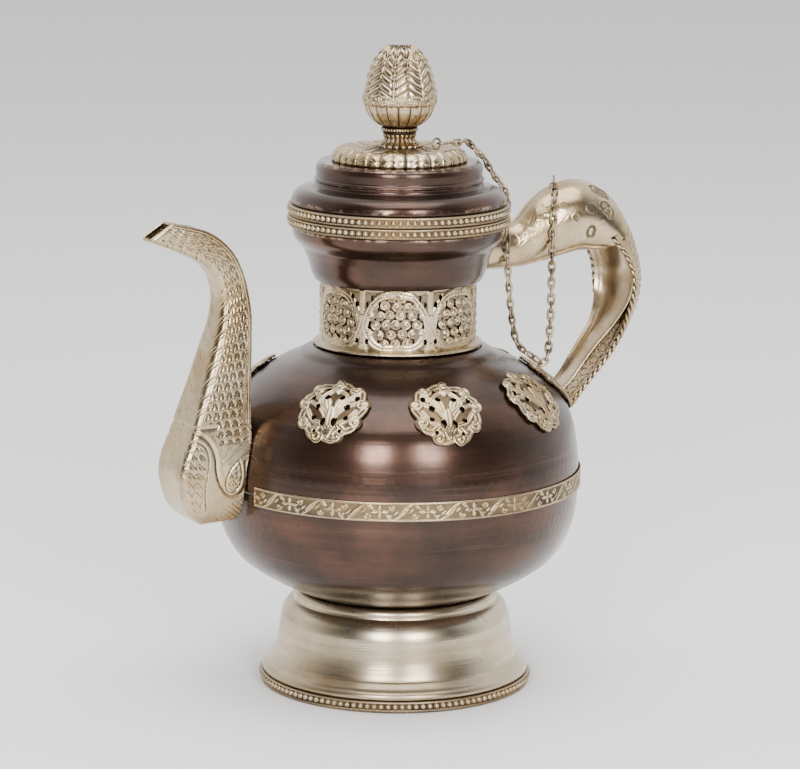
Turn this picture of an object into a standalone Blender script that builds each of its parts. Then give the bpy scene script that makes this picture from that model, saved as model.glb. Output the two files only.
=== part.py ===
"""Copper jug with a spout, a strap handle, a chained lid and white-metal mounts. Metres, +Z up.

The spout points along -X and the handle along +X. The foot stands on Z = 0 and the common
axis of foot, belly, neck and lid is the Z axis.
"""

import math

import bmesh
import bpy
from mathutils import Vector

MM = 0.001
GAP = 0.3 * MM  # between pieces that touch
SEGMENTS = 44  # around every large turned piece
SMALL_SEGMENTS = 28  # around the finial pieces

# ---- driving dimensions -------------------------------------------------------------
WALL = 1.2 * MM  # copper sheet
SHEET = 1.2 * MM  # white-metal sheet

FOOT_RADIUS = 70.2 * MM
FOOT_TOP_RADIUS = 50.6 * MM
FOOT_HEIGHT = 49.6 * MM
FOOT_RING_HEIGHT = 5.8 * MM
FOOT_RING_WIDTH = 4.4 * MM
FOOT_RING_RADIUS = FOOT_RADIUS + 1.1 * MM

NECK_RADIUS = 38.5 * MM
BELLY_RADIUS = 95.6 * MM
BOWL_DEPTH = 67.4 * MM  # from the belly's bottom to its seam
SHOULDER_HEIGHT = 68.1 * MM  # from the seam to the belly's top
BELLY_BOTTOM = FOOT_HEIGHT - 5.6 * MM
BELLY_SEAM = BELLY_BOTTOM + BOWL_DEPTH
BELLY_TOP = BELLY_SEAM + SHOULDER_HEIGHT

BELT_HEIGHT = 9.8 * MM
BELT_THICKNESS = 1.0 * MM
BELT_STOP = math.radians(13.7)  # from the spout's plane to each end of the belt

BAND_HEIGHT = 33.7 * MM
BAND_THICKNESS = 2.1 * MM
BAND_FLANGE_WIDTH = 3.1 * MM
BAND_FLANGE_HEIGHT = 2.0 * MM
BAND_BOTTOM = BELLY_TOP + 0.4 * MM
BAND_TOP = BAND_BOTTOM + BAND_HEIGHT

COLLAR_RADIUS = 55.4 * MM
COLLAR_HEIGHT = 27.9 * MM
COLLAR_BOTTOM = BAND_TOP + 0.4 * MM
COLLAR_TOP = COLLAR_BOTTOM + COLLAR_HEIGHT
COLLAR_FOOT_RADIUS = NECK_RADIUS + 5.0 * MM

BEAD_HEIGHT = 5.4 * MM
BEAD_WIDTH = 2.8 * MM
BEAD_RADIUS = COLLAR_RADIUS + 2.4 * MM
LID_PARTING = COLLAR_TOP + GAP + BEAD_HEIGHT + GAP / 2

SKIRT_CLEARANCE = 2.8 * MM
SKIRT_RADIUS = COLLAR_RADIUS - WALL - SKIRT_CLEARANCE
SKIRT_DEPTH = 9.6 * MM
LID_HEIGHT = 27.5 * MM
LID_RADIUS = COLLAR_RADIUS + 0.3 * MM
LID_STEP_RADIUS = 43.2 * MM
LID_SHOULDER = LID_PARTING + GAP / 2 + BEAD_HEIGHT + GAP
LID_TOP = LID_PARTING + LID_HEIGHT
ROD_RADIUS = 2.0 * MM
ROSETTE_RADIUS = 34.4 * MM
ROSETTE_HEIGHT = 6.8 * MM

STEM_RADIUS = 8.1 * MM
STEM_HEIGHT = 7.2 * MM
KNOP_RADIUS = 9.6 * MM
KNOP_HEIGHT = 2.2 * MM
BUD_RADIUS = 19.1 * MM
CALYX_HEIGHT = 11.9 * MM
LEAF_HEIGHT = 29.2 * MM

SPOUT_SHEET = 1.2 * MM
SPOUT_WIDTH = 31.0 * MM
SPOUT_HOLE_RADIUS = 6.5 * MM
SPOUT_HOLE_RISE = 17.6 * MM  # above the belly's seam
SPOUT_CORNER = 0.34  # rounding of the section, as a share of its half width

HANDLE_SHEET = 1.3 * MM
HEAD_HEIGHT = 36.0 * MM
HEAD_WIDTH = 37.2 * MM
CHANNEL_WIDTH = 40.0 * MM
SPINE_WIDTH = CHANNEL_WIDTH + 4.0 * MM
TERMINAL_RADIUS = 9.0 * MM
TERMINAL_HEIGHT = BELLY_SEAM + BELT_HEIGHT / 2 + 0.7 * MM + TERMINAL_RADIUS

MEDALLION_RADIUS = 20.0 * MM
MEDALLION_LIFT = 1.0 * MM  # clears the corners of the belly's facets
MEDALLION_THICKNESS = 1.9 * MM
MEDALLION_DROP = 21.5 * MM  # of its centre below the belly's top
MEDALLION_ANGLES = (38.5, 80.0, 121.5, 163.0)  # degrees from the spout, on both sides

EYE_WIRE = 0.55 * MM
EYE_RADIUS = 2.7 * MM
JUMP_WIRE = 0.5 * MM
JUMP_RADIUS = 2.2 * MM
CHAIN_RADIUS = 1.75 * MM
CHAIN_POINT_PITCH = 4.4 * MM

# ---- profiles, as shares of width and height down the outer side --------------------
FOOT_SHAPE = [
    (0.0, 1.0),
    (0.107, 0.940),
    (0.077, 0.857),
    (0.270, 0.784),
    (0.449, 0.678),
    (0.536, 0.540),
    (0.617, 0.310),
    (0.699, 0.191),
    (0.867, 0.099),
    (1.0, 0.030),
    (1.0, 0.0),
]
SHOULDER_SHAPE = [
    (0.0, 0.933),
    (0.193, 0.881),
    (0.401, 0.809),
    (0.560, 0.736),
    (0.716, 0.653),
    (0.849, 0.568),
    (0.936, 0.405),
    (0.984, 0.207),
    (1.0, 0.029),
]
BOWL_SHAPE = [
    (1.0, 0.914),
    (0.952, 0.658),
    (0.840, 0.443),
    (0.644, 0.264),
    (0.340, 0.123),
    (0.0, 0.0),
]
COLLAR_SHAPE = [
    (1.0, 1.0),
    (0.950, 0.828),
    (0.706, 0.692),
    (0.496, 0.577),
    (0.294, 0.355),
    (0.143, 0.140),
    (0.0, 0.0),
]
LID_SHAPE = [
    (0.0, 0.843),
    (0.0, 0.465),
    (0.568, 0.383),
    (0.896, 0.263),
    (1.0, 0.124),
]
CALYX_SHAPE = [(1.0, 1.0), (0.955, 0.66), (0.85, 0.40), (0.68, 0.17), (0.52, 0.0)]
LEAF_SHAPE = [
    (0.34, 1.0),
    (0.50, 0.915),
    (0.675, 0.77),
    (0.83, 0.55),
    (0.945, 0.30),
    (1.0, 0.0),
]

# ---- spout: millimetres beyond the belly's radius and above its seam ----------------
SPOUT_STATIONS = [  # front out, front up, back out, back up, share of the width
    (47.7, 132.0, 35.4, 139.5, 0.297),
    (36.4, 127.9, 27.4, 137.6, 0.335),
    (25.4, 123.0, 17.4, 134.9, 0.374),
    (17.4, 118.5, 9.4, 130.2, 0.406),
    (12.2, 113.0, 2.8, 123.6, 0.432),
    (9.4, 106.2, -2.0, 115.0, 0.452),
    (8.2, 98.1, -5.2, 104.4, 0.471),
    (9.6, 86.6, -6.6, 91.1, 0.594),
    (13.6, 74.6, -6.0, 77.6, 0.690),
    (18.8, 58.6, -5.0, 60.6, 0.787),
    (23.6, 43.6, -4.2, 44.6, 0.877),
    (28.0, 30.1, -4.0, 30.1, 0.955),
    (32.0, 20.6, -3.8, 20.6, 0.994),
    (34.0, 10.6, -3.6, 9.6, 1.000),
    (32.6, 0.6, -3.6, 0.6, 0.968),
    (29.0, -7.8, -2.6, -7.0, 0.877),
    (22.0, -14.2, 0.4, -13.2, 0.684),
]
SPOUT_FLOOR = -2  # the inside ends two stations above the underside
SPOUT_BEYOND = (53.7, 136.0, 40.6, 143.1, 0.297)  # the inside runs out past the tip
SPOUT_BACK_END = 13  # the back sheet's last station is the one before

# ---- handle -------------------------------------------------------------------------
HEAD_STATIONS = [  # millimetres beyond and above the collar's foot, slope, height, width
    (-12.4, 12.0, 0.0, 0.572, 0.366),
    (5.6, 12.1, 0.0, 0.583, 0.382),
    (14.6, 12.8, 9.0, 0.606, 0.452),
    (22.6, 15.6, 24.0, 0.711, 0.581),
    (30.6, 20.2, 27.0, 0.867, 0.710),
    (38.6, 24.2, 18.0, 0.967, 0.817),
    (47.6, 26.6, 2.0, 1.000, 0.892),
    (56.1, 25.2, -17.0, 0.939, 0.946),
    (64.2, 20.0, -38.0, 0.767, 1.000),
]
HEAD_BEFORE = (-18.4, 12.0, 0.0, 0.572, 0.366)  # the hollow runs out past both ends
HEAD_AFTER = (71.2, 14.0, -38.0, 0.767, 1.000)
CHANNEL_STATIONS = [  # how far down the strap, out, up, direction faced, width, depth
    (0.00, 74.2, 28.2, 48.0, 0.940, 17.0),
    (0.14, 75.5, 27.5, 27.0, 0.970, 14.0),
    (0.29, 73.4, 27.5, 10.0, 0.990, 11.5),
    (0.41, 69.6, 27.1, -2.0, 1.000, 10.3),
    (0.53, 62.8, 26.6, -15.0, 0.930, 9.6),
    (0.64, 53.4, 26.7, -29.0, 0.760, 8.0),
    (0.73, 42.6, 26.6, -36.0, 0.595, 5.6),
    (0.81, 31.5, 26.5, -40.0, 0.500, 4.2),
    (0.90, 19.7, 25.8, -42.0, 0.435, 3.2),
    (1.00, 8.0, 25.6, -42.0, 0.400, 2.4),
    (1.00, -3.6, 15.6, -42.0, 0.400, 2.0),
    (1.00, -15.2, 5.6, -42.0, 0.400, 1.6),
]
SPINE_STATIONS = [
    (0.00, 75.6, 29.6, 48.0, 0.945, 17.6),
    (0.13, 77.6, 27.4, 27.0, 0.973, 14.6),
    (0.29, 75.2, 27.8, 10.0, 0.991, 12.0),
    (0.41, 71.4, 27.1, -2.0, 1.000, 10.7),
    (0.54, 64.7, 26.9, -15.0, 0.932, 9.7),
    (0.66, 56.3, 26.7, -27.0, 0.736, 7.2),
    (0.76, 48.0, 26.9, -33.0, 0.518, 3.6),
    (0.85, 38.6, 26.4, -39.0, 0.455, 2.6),
    (0.94, 28.0, 26.1, -43.0, 0.436, 2.2),
    (1.00, 16.8, 22.4, -43.0, 0.427, 2.0),
    (1.00, 9.0, 13.6, -36.0, 0.418, 1.8),
    (1.00, 7.2, 11.2, -34.0, 0.409, 1.6),
]
TERMINAL_SHAPE = [(0.8, 1.0), (2.8, 1.0), (5.0, 0.89), (7.2, 0.67), (8.7, 0.33)]

# ---- chain --------------------------------------------------------------------------
LID_EYE_OUT = 24.0 * MM
LID_EYE_ANGLE = math.radians(-66.0)
LID_PULL = (11.8, 1.2)  # heading and dip in degrees of the chain where it leaves the eye
HANDLE_EYE_STATION = 5
HANDLE_EYE_SHARE = 0.29  # of the way from that station of the head to the next
HANDLE_PULL = (-120.2, 33.2)
LID_RUN = [  # millimetres
    (16.9, -20.4, 285.8),
    (20.5, -19.5, 285.6),
    (24.6, -18.6, 285.4),
    (29.6, -17.2, 285.3),
    (33.0, -15.6, 283.8),
    (38.4, -14.2, 279.0),
    (42.8, -13.0, 275.4),
    (47.0, -11.8, 269.8),
    (51.2, -10.7, 264.8),
    (55.2, -9.8, 260.4),
    (58.6, -9.2, 256.0),
    (59.5, -9.0, 250.5),
    (59.6, -9.0, 243.0),
    (59.7, -9.1, 230.0),
    (60.2, -9.4, 215.0),
    (61.4, -9.8, 200.0),
    (63.0, -10.2, 187.0),
    (65.2, -10.6, 177.4),
    (69.0, -11.6, 172.2),
    (72.6, -13.0, 169.4),
]
HANDLE_RUN = [
    (89.6, -5.6, 256.2),
    (88.2, -8.4, 254.8),
    (86.4, -11.8, 252.2),
    (84.8, -14.6, 247.6),
    (83.6, -15.6, 241.0),
    (83.2, -15.9, 234.0),
    (83.0, -15.9, 215.0),
    (82.9, -15.9, 195.0),
    (82.4, -15.7, 178.0),
    (81.4, -15.4, 168.6),
    (78.6, -14.8, 165.0),
    (75.8, -14.0, 167.0),
]

# ---- colours ------------------------------------------------------------------------
DARK_COPPER = (0.110, 0.046, 0.028)
WHITE_METAL = (0.52, 0.45, 0.33)
SPUN_METAL = (0.60, 0.55, 0.46)
DARK_WIRE = (0.30, 0.25, 0.18)

# ---- scene --------------------------------------------------------------------------
for old in list(bpy.data.objects):
    bpy.data.objects.remove(old, do_unlink=True)

jug = bpy.data.collections.new("copper_jug")
cutters = bpy.data.collections.new("cutters")
bpy.context.scene.collection.children.link(jug)
bpy.context.scene.collection.children.link(cutters)


def material(name, colour, roughness):
    made = bpy.data.materials.new(name)
    made.use_nodes = True
    shader = made.node_tree.nodes["Principled BSDF"]
    shader.inputs["Base Color"].default_value = (*colour, 1.0)
    shader.inputs["Metallic"].default_value = 1.0
    shader.inputs["Roughness"].default_value = roughness
    return made


def place(name, data, colour, roughness):
    obj = bpy.data.objects.new(name, data)
    data.materials.append(material(name, colour, roughness))
    jug.objects.link(obj)
    return obj


def hide_cutter(obj):
    for holder in list(obj.users_collection):
        holder.objects.unlink(obj)
    cutters.objects.link(obj)
    obj.hide_render = True
    obj.display_type = "WIRE"
    return obj


def profile_mesh(name, points, closed):
    mesh = bpy.data.meshes.new(name)
    edges = [(i, i + 1) for i in range(len(points) - 1)]
    if closed:
        edges.append((len(points) - 1, 0))
    mesh.from_pydata([(radius, 0.0, height) for radius, height in points], edges, [])
    return mesh


def turned(name, points, colour, roughness, closed=True, steps=SEGMENTS):
    """A piece turned about Z from its profile, which runs down its outer side."""
    obj = place(name, profile_mesh(name, points, closed), colour, roughness)
    screw = obj.modifiers.new("turn", "SCREW")
    screw.axis = "Z"
    screw.angle = math.tau
    screw.steps = steps
    screw.render_steps = steps
    screw.use_merge_vertices = True
    screw.merge_threshold = 0.00001
    return obj


def inset(points, thickness):
    """The profile moved inwards along its normals by the thickness."""
    moved = []
    for i, (radius, height) in enumerate(points):
        before = points[max(i - 1, 0)]
        after = points[min(i + 1, len(points) - 1)]
        run = (after[0] - before[0], after[1] - before[1])
        length = math.hypot(*run)
        moved.append(
            (radius + thickness * run[1] / length, height - thickness * run[0] / length)
        )
    return moved


def spread(shape, low_radius, high_radius, low, high):
    """A profile from its shares of the width and the height between these limits."""
    width, height = high_radius - low_radius, high - low
    return [(low_radius + width * across, low + height * up) for across, up in shape]


def thinned(points):
    """Every second point, keeping both ends."""
    return [*points[:-1:2], points[-1]]


def loft(name, rings, colour, roughness):
    """A closed solid through rings of equally many points, capped at both ends."""
    count = len(rings[0])
    vertices = [point for ring in rings for point in ring]
    faces = [tuple(range(count)), tuple((len(rings) - 1) * count + i for i in range(count))[::-1]]
    for row in range(len(rings) - 1):
        for i in range(count):
            j = (i + 1) % count
            a, b = row * count, (row + 1) * count
            faces.append((a + i, b + i, b + j, a + j))
    mesh = bpy.data.meshes.new(name)
    mesh.from_pydata(vertices, [], faces)
    build = bmesh.new()
    build.from_mesh(mesh)
    bmesh.ops.recalc_face_normals(build, faces=build.faces)
    build.to_mesh(mesh)
    build.free()
    return place(name, mesh, colour, roughness)


def cut(obj, cutter, name):
    boolean = obj.modifiers.new(name, "BOOLEAN")
    boolean.operation = "DIFFERENCE"
    boolean.solver = "EXACT"
    boolean.object = cutter


def wire_ring(name, centre, radius, wire, normal, origin):
    """A closed wire ring whose object origin lies on its joint axis."""
    curve = bpy.data.curves.new(name, "CURVE")
    curve.dimensions = "3D"
    curve.bevel_depth = wire
    curve.bevel_resolution = 1
    spline = curve.splines.new("POLY")
    points = 14
    spline.points.add(points - 1)
    spline.use_cyclic_u = True
    side = normal.orthogonal().normalized()
    up = normal.cross(side)
    for i in range(points):
        turn = math.tau * i / points
        at = centre - origin + radius * (side * math.cos(turn) + up * math.sin(turn))
        spline.points[i].co = (*at, 1.0)
    place(name, curve, DARK_WIRE, 0.35).location = origin


def cord_tube(name, run):
    points = smooth_line([Vector(point) * MM for point in run], CHAIN_POINT_PITCH)
    curve = bpy.data.curves.new(name, "CURVE")
    curve.dimensions = "3D"
    curve.bevel_depth = CHAIN_RADIUS
    curve.bevel_resolution = 2
    curve.use_fill_caps = True
    spline = curve.splines.new("POLY")
    spline.points.add(len(points) - 1)
    for i, point in enumerate(points):
        spline.points[i].co = (*point, 1.0)
    place(name, curve, DARK_WIRE, 0.35)


def smooth_line(points, pitch):
    """Points every pitch along a Catmull-Rom curve through the given ones."""
    padded = [2 * points[0] - points[1], *points, 2 * points[-1] - points[-2]]
    fine = []
    parts = 24
    for i in range(1, len(padded) - 2):
        p0, p1, p2, p3 = padded[i - 1 : i + 3]
        for k in range(parts):
            t = k / parts
            fine.append(
                0.5
                * (
                    2 * p1
                    + (p2 - p0) * t
                    + (2 * p0 - 5 * p1 + 4 * p2 - p3) * t * t
                    + (3 * p1 - p0 - 3 * p2 + p3) * t * t * t
                )
            )
    fine.append(points[-1])
    lengths = [0.0]
    for a, b in zip(fine, fine[1:]):
        lengths.append(lengths[-1] + (b - a).length)
    count = max(2, round(lengths[-1] / pitch))
    line = []
    at = 0
    for k in range(count + 1):
        want = lengths[-1] * k / count
        while at < len(fine) - 2 and lengths[at + 1] < want:
            at += 1
        share = (want - lengths[at]) / (lengths[at + 1] - lengths[at])
        line.append(fine[at].lerp(fine[at + 1], min(share, 1.0)))
    return line


def envelope(name, points, swell):
    """A solid filled to the axis, larger than the profile by swell, for cutting neighbours."""
    top, bottom = points[0][1], points[-1][1]
    grown = [(radius + swell, height) for radius, height in points]
    outline = [(0.0, top), *grown, (0.0, bottom)]
    return hide_cutter(turned(name, outline, DARK_COPPER, 0.5, closed=False))


# ---- foot ---------------------------------------------------------------------------
foot_outer = spread(
    FOOT_SHAPE, FOOT_TOP_RADIUS, FOOT_RADIUS, FOOT_RING_HEIGHT + GAP, FOOT_HEIGHT
)
turned("foot_shell", foot_outer + inset(foot_outer, SHEET)[::-1], SPUN_METAL, 0.25)
foot_ring = [
    (FOOT_RING_RADIUS - 0.5 * MM, FOOT_RING_HEIGHT),
    (FOOT_RING_RADIUS, FOOT_RING_HEIGHT * 0.6),
    (FOOT_RING_RADIUS, 0.8 * MM),
    (FOOT_RING_RADIUS - 0.6 * MM, 0.0),
    (FOOT_RING_RADIUS - FOOT_RING_WIDTH, 0.0),
    (FOOT_RING_RADIUS - FOOT_RING_WIDTH, FOOT_RING_HEIGHT),
]
turned("foot_bead_ring", foot_ring, WHITE_METAL, 0.3)

# ---- belly --------------------------------------------------------------------------
shoulder_outer = [
    (NECK_RADIUS + 7.5 * MM, BELLY_TOP - 1.5 * MM),
    *spread(SHOULDER_SHAPE, NECK_RADIUS + 13.5 * MM, BELLY_RADIUS, BELLY_SEAM, BELLY_TOP),
    (BELLY_RADIUS, BELLY_SEAM + GAP / 2),
]
bowl_outer = [
    (BELLY_RADIUS, BELLY_SEAM - GAP / 2),
    *spread(
        BOWL_SHAPE, FOOT_TOP_RADIUS + 7.4 * MM, BELLY_RADIUS, BELLY_BOTTOM + 9.0 * MM, BELLY_SEAM
    ),
    (FOOT_TOP_RADIUS - 4.6 * MM, BELLY_BOTTOM + 4.4 * MM),
    (FOOT_TOP_RADIUS - 26.6 * MM, BELLY_BOTTOM + 0.6 * MM),
]
belly_outer = shoulder_outer[:-1] + bowl_outer[1:]
shoulder_inner = thinned(inset(shoulder_outer, WALL))
belly_shoulder = turned(
    "belly_shoulder", shoulder_outer + shoulder_inner[::-1], DARK_COPPER, 0.32
)
bowl_inner = thinned(inset(bowl_outer, WALL))
bowl_profile = [
    (0.0, BELLY_BOTTOM + WALL),
    *bowl_inner[::-1],
    *bowl_outer,
    (0.0, BELLY_BOTTOM),
]
turned("belly_bowl", bowl_profile, DARK_COPPER, 0.32, closed=False)
belly_envelope = envelope("belly_envelope", belly_outer, GAP)

spout_hole = bpy.data.meshes.new("spout_hole")
drill = bmesh.new()
bmesh.ops.create_cone(
    drill,
    cap_ends=True,
    segments=20,
    radius1=SPOUT_HOLE_RADIUS,
    radius2=SPOUT_HOLE_RADIUS,
    depth=30 * MM,
)
drill.to_mesh(spout_hole)
drill.free()
hole_cutter = hide_cutter(place("spout_hole", spout_hole, DARK_COPPER, 0.5))
hole_cutter.rotation_euler = (0.0, math.pi / 2, 0.0)
hole_cutter.location = (-BELLY_RADIUS, 0.0, BELLY_SEAM + SPOUT_HOLE_RISE)
cut(belly_shoulder, hole_cutter, "spout hole")

# ---- belt ---------------------------------------------------------------------------
belt_rings = []
belt_steps = 60
for i in range(belt_steps + 1):
    turn = math.pi + BELT_STOP + (math.tau - 2 * BELT_STOP) * i / belt_steps
    inner = BELLY_RADIUS + GAP
    outer = inner + BELT_THICKNESS
    low, high = BELLY_SEAM - BELT_HEIGHT / 2, BELLY_SEAM + BELT_HEIGHT / 2
    corners = ((inner, low), (outer, low), (outer, high), (inner, high))
    belt_rings.append([(r * math.cos(turn), r * math.sin(turn), z) for r, z in corners])
loft("belly_belt", belt_rings, WHITE_METAL, 0.3)

# ---- neck and collar ----------------------------------------------------------------
neck_top = COLLAR_BOTTOM + 2.6 * MM
neck_flange = shoulder_outer[0][0] - 2.6 * MM
neck_foot = BELLY_TOP - 5.5 * MM
neck_profile = [
    (NECK_RADIUS, neck_top),
    (NECK_RADIUS, BELLY_TOP - GAP),
    (neck_flange, BELLY_TOP - 1.5 * MM),
    (neck_flange, neck_foot),
    (NECK_RADIUS - WALL, neck_foot),
    (NECK_RADIUS - WALL, neck_top),
]
turned("neck_tube", neck_profile, DARK_COPPER, 0.4)
band_inner = NECK_RADIUS + GAP
band_outer = band_inner + BAND_THICKNESS
band_profile = [
    (band_outer, BAND_TOP),
    (band_outer, BAND_BOTTOM + BAND_FLANGE_HEIGHT),
    (band_outer + BAND_FLANGE_WIDTH, BAND_BOTTOM + BAND_FLANGE_HEIGHT - 0.4 * MM),
    (band_outer + BAND_FLANGE_WIDTH, BAND_BOTTOM),
    (band_inner, BAND_BOTTOM),
    (band_inner, BAND_TOP),
]
turned("neck_band", band_profile, WHITE_METAL, 0.3)
collar_outer = spread(
    COLLAR_SHAPE, COLLAR_FOOT_RADIUS, COLLAR_RADIUS, COLLAR_BOTTOM, COLLAR_TOP
)
collar_profile = [
    *collar_outer,
    (band_inner, COLLAR_BOTTOM),
    (band_inner, COLLAR_BOTTOM + WALL),
    *inset(collar_outer, WALL)[::-1][1:],
]
turned("mouth_collar", collar_profile, DARK_COPPER, 0.32)
collar_envelope = envelope("collar_envelope", collar_outer, GAP)


def bead_band(name, bottom):
    inner = BEAD_RADIUS - BEAD_WIDTH
    top = bottom + BEAD_HEIGHT
    profile = [
        (BEAD_RADIUS - 0.5 * MM, top),
        (BEAD_RADIUS, top - 0.8 * MM),
        (BEAD_RADIUS, bottom + 0.8 * MM),
        (BEAD_RADIUS - 0.5 * MM, bottom),
        (inner, bottom),
        (inner, top),
    ]
    turned(name, profile, WHITE_METAL, 0.3)


bead_band("collar_bead_band", LID_PARTING - GAP / 2 - BEAD_HEIGHT)
bead_band("lid_bead_band", LID_PARTING + GAP / 2)

# ---- lid ----------------------------------------------------------------------------
lid_rim = BEAD_RADIUS - BEAD_WIDTH - GAP
lid_upper = [
    (ROD_RADIUS + GAP, LID_TOP),
    (LID_STEP_RADIUS - 2.6 * MM, LID_TOP),
    (LID_STEP_RADIUS - 0.6 * MM, LID_TOP - 1.2 * MM),
    *spread(LID_SHAPE, LID_STEP_RADIUS, LID_RADIUS, LID_SHOULDER, LID_TOP),
]
lid_outer = [
    *lid_upper,
    (LID_RADIUS, LID_SHOULDER),
    (lid_rim, LID_SHOULDER),
    (lid_rim, LID_PARTING + GAP / 2),
]
lid_inner = [
    (ROD_RADIUS + GAP, LID_TOP - WALL),
    *inset([*lid_upper, (LID_RADIUS, LID_SHOULDER)], WALL)[1:-1],
    (lid_rim - WALL, LID_SHOULDER - GAP),
    (lid_rim - WALL, LID_PARTING + GAP / 2),
]
turned("lid_shell", lid_outer + lid_inner[::-1], DARK_COPPER, 0.32)
skirt_top = LID_PARTING + GAP + 2.6 * MM
skirt_profile = [
    (lid_rim - WALL - GAP, skirt_top),
    (lid_rim - WALL - GAP, LID_PARTING + GAP / 2),
    (SKIRT_RADIUS, LID_PARTING - 1.2 * MM),
    (SKIRT_RADIUS, LID_PARTING - SKIRT_DEPTH),
    (SKIRT_RADIUS - WALL, LID_PARTING - SKIRT_DEPTH),
    (SKIRT_RADIUS - WALL, skirt_top),
]
turned("lid_skirt", skirt_profile, DARK_COPPER, 0.4)

rosette_bottom = LID_TOP + GAP
rosette_top = rosette_bottom + ROSETTE_HEIGHT
rosette_profile = [
    (STEM_RADIUS + 4.0 * MM, rosette_top + 0.4 * MM),
    (ROSETTE_RADIUS - 6.0 * MM, rosette_top),
    (ROSETTE_RADIUS - 2.2 * MM, rosette_top - 1.0 * MM),
    (ROSETTE_RADIUS - 0.4 * MM, rosette_top - 3.2 * MM),
    (ROSETTE_RADIUS, rosette_bottom + 0.8 * MM),
    (ROSETTE_RADIUS - 0.4 * MM, rosette_bottom),
    (ROSETTE_RADIUS - 1.8 * MM, rosette_bottom),
    (ROSETTE_RADIUS - 3.4 * MM, rosette_top - 2.4 * MM),
    (ROD_RADIUS + GAP, rosette_top - 1.2 * MM),
    (ROD_RADIUS + GAP, rosette_top + 0.4 * MM),
]
turned("lid_rosette", rosette_profile, WHITE_METAL, 0.3, steps=48)

stem_bottom = rosette_top + 0.4 * MM + GAP
stem_top = stem_bottom + STEM_HEIGHT
stem_profile = [
    (STEM_RADIUS + 0.9 * MM, stem_top),
    (STEM_RADIUS, stem_top - 2.4 * MM),
    (STEM_RADIUS + 1.2 * MM, stem_bottom + 1.6 * MM),
    (STEM_RADIUS + 4.4 * MM, stem_bottom),
    (ROD_RADIUS + GAP, stem_bottom),
    (ROD_RADIUS + GAP, stem_top),
]
turned("finial_stem", stem_profile, WHITE_METAL, 0.3, steps=SMALL_SEGMENTS)
knop_bottom = stem_top + GAP
knop_top = knop_bottom + KNOP_HEIGHT
knop_profile = [
    (KNOP_RADIUS - 0.8 * MM, knop_top),
    (KNOP_RADIUS, (knop_top + knop_bottom) / 2),
    (KNOP_RADIUS - 0.8 * MM, knop_bottom),
    (ROD_RADIUS + GAP, knop_bottom),
    (ROD_RADIUS + GAP, knop_top),
]
turned("finial_knop", knop_profile, WHITE_METAL, 0.3, steps=SMALL_SEGMENTS)
calyx_bottom = knop_top + GAP
calyx_top = calyx_bottom + CALYX_HEIGHT
calyx_outer = spread(CALYX_SHAPE, 0.0, BUD_RADIUS, calyx_bottom, calyx_top)
calyx_profile = [
    *calyx_outer,
    (ROD_RADIUS + GAP, calyx_bottom),
    (ROD_RADIUS + GAP, calyx_bottom + SHEET),
    *inset(calyx_outer, SHEET)[::-1][1:],
]
turned("finial_calyx", calyx_profile, WHITE_METAL, 0.3, steps=SMALL_SEGMENTS)
bud_bottom = calyx_top + GAP
bud_top = bud_bottom + LEAF_HEIGHT
bud_outer = spread(LEAF_SHAPE, 0.0, BUD_RADIUS, bud_bottom, bud_top)
bud_profile = [
    *bud_outer,
    (BUD_RADIUS - SHEET, bud_bottom),
    *inset(bud_outer, SHEET)[::-1][1:-1],
    (ROD_RADIUS + GAP, bud_top - 2 * SHEET - 2.0 * MM),
    (ROD_RADIUS + GAP, bud_top - SHEET - 2.0 * MM),
    (bud_outer[0][0] - SHEET, bud_top - SHEET - 1.0 * MM),
    (bud_outer[0][0] - SHEET, bud_top),
]
turned("finial_bud", bud_profile, WHITE_METAL, 0.3, steps=SMALL_SEGMENTS)
nut_top = LID_TOP - WALL - GAP
rod_bottom = nut_top - 4.6 * MM
rod_top = bud_top - SHEET - 1.2 * MM
rod_profile = [(0.0, rod_top), (ROD_RADIUS, rod_top), (ROD_RADIUS, rod_bottom), (0.0, rod_bottom)]
turned("finial_rod", rod_profile, SPUN_METAL, 0.3, closed=False, steps=16)
nut_bore = (ROD_RADIUS + GAP) / math.cos(math.pi / 6)
nut_profile = [
    (4.4 * MM, nut_top),
    (4.4 * MM, nut_top - 3.2 * MM),
    (nut_bore, nut_top - 3.2 * MM),
    (nut_bore, nut_top),
]
turned("finial_nut", nut_profile, SPUN_METAL, 0.3, steps=6)

# ---- spout --------------------------------------------------------------------------


def spout_edges(station):
    """The front and back edges and the half width of the spout at a station."""
    front_out, front_up, back_out, back_up, share = station
    front = Vector((-BELLY_RADIUS - front_out * MM, 0.0, BELLY_SEAM + front_up * MM))
    back = Vector((-BELLY_RADIUS - back_out * MM, 0.0, BELLY_SEAM + back_up * MM))
    return front, back, share * SPOUT_WIDTH / 2


def spout_section(station, sheet, past_back):
    """A rounded box section between the front and back edges, made smaller by the sheet."""
    front, back, half = spout_edges(station)
    inward = (back - front).normalized()
    front += inward * sheet
    half -= sheet
    corner = SPOUT_CORNER * half
    depth = (back - front).length + past_back
    outline = [
        (depth, -half),
        (corner, -half),
        (corner * 0.3, -half + corner * 0.3),
        (0.0, -half + corner),
        (0.0, half - corner),
        (corner * 0.3, half - corner * 0.3),
        (corner, half),
        (depth, half),
    ]
    return [front + inward * u + Vector((0.0, v, 0.0)) for u, v in outline]


def back_section(station):
    """A strip just inside the open back of the spout's section."""
    front, back, half = spout_edges(station)
    outward = (front - back).normalized()
    wide = half - SPOUT_SHEET - GAP
    corners = ((0.0, -wide), (SPOUT_SHEET, -wide), (SPOUT_SHEET, wide), (0.0, wide))
    return [back + outward * u + Vector((0.0, v, 0.0)) for u, v in corners]


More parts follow.
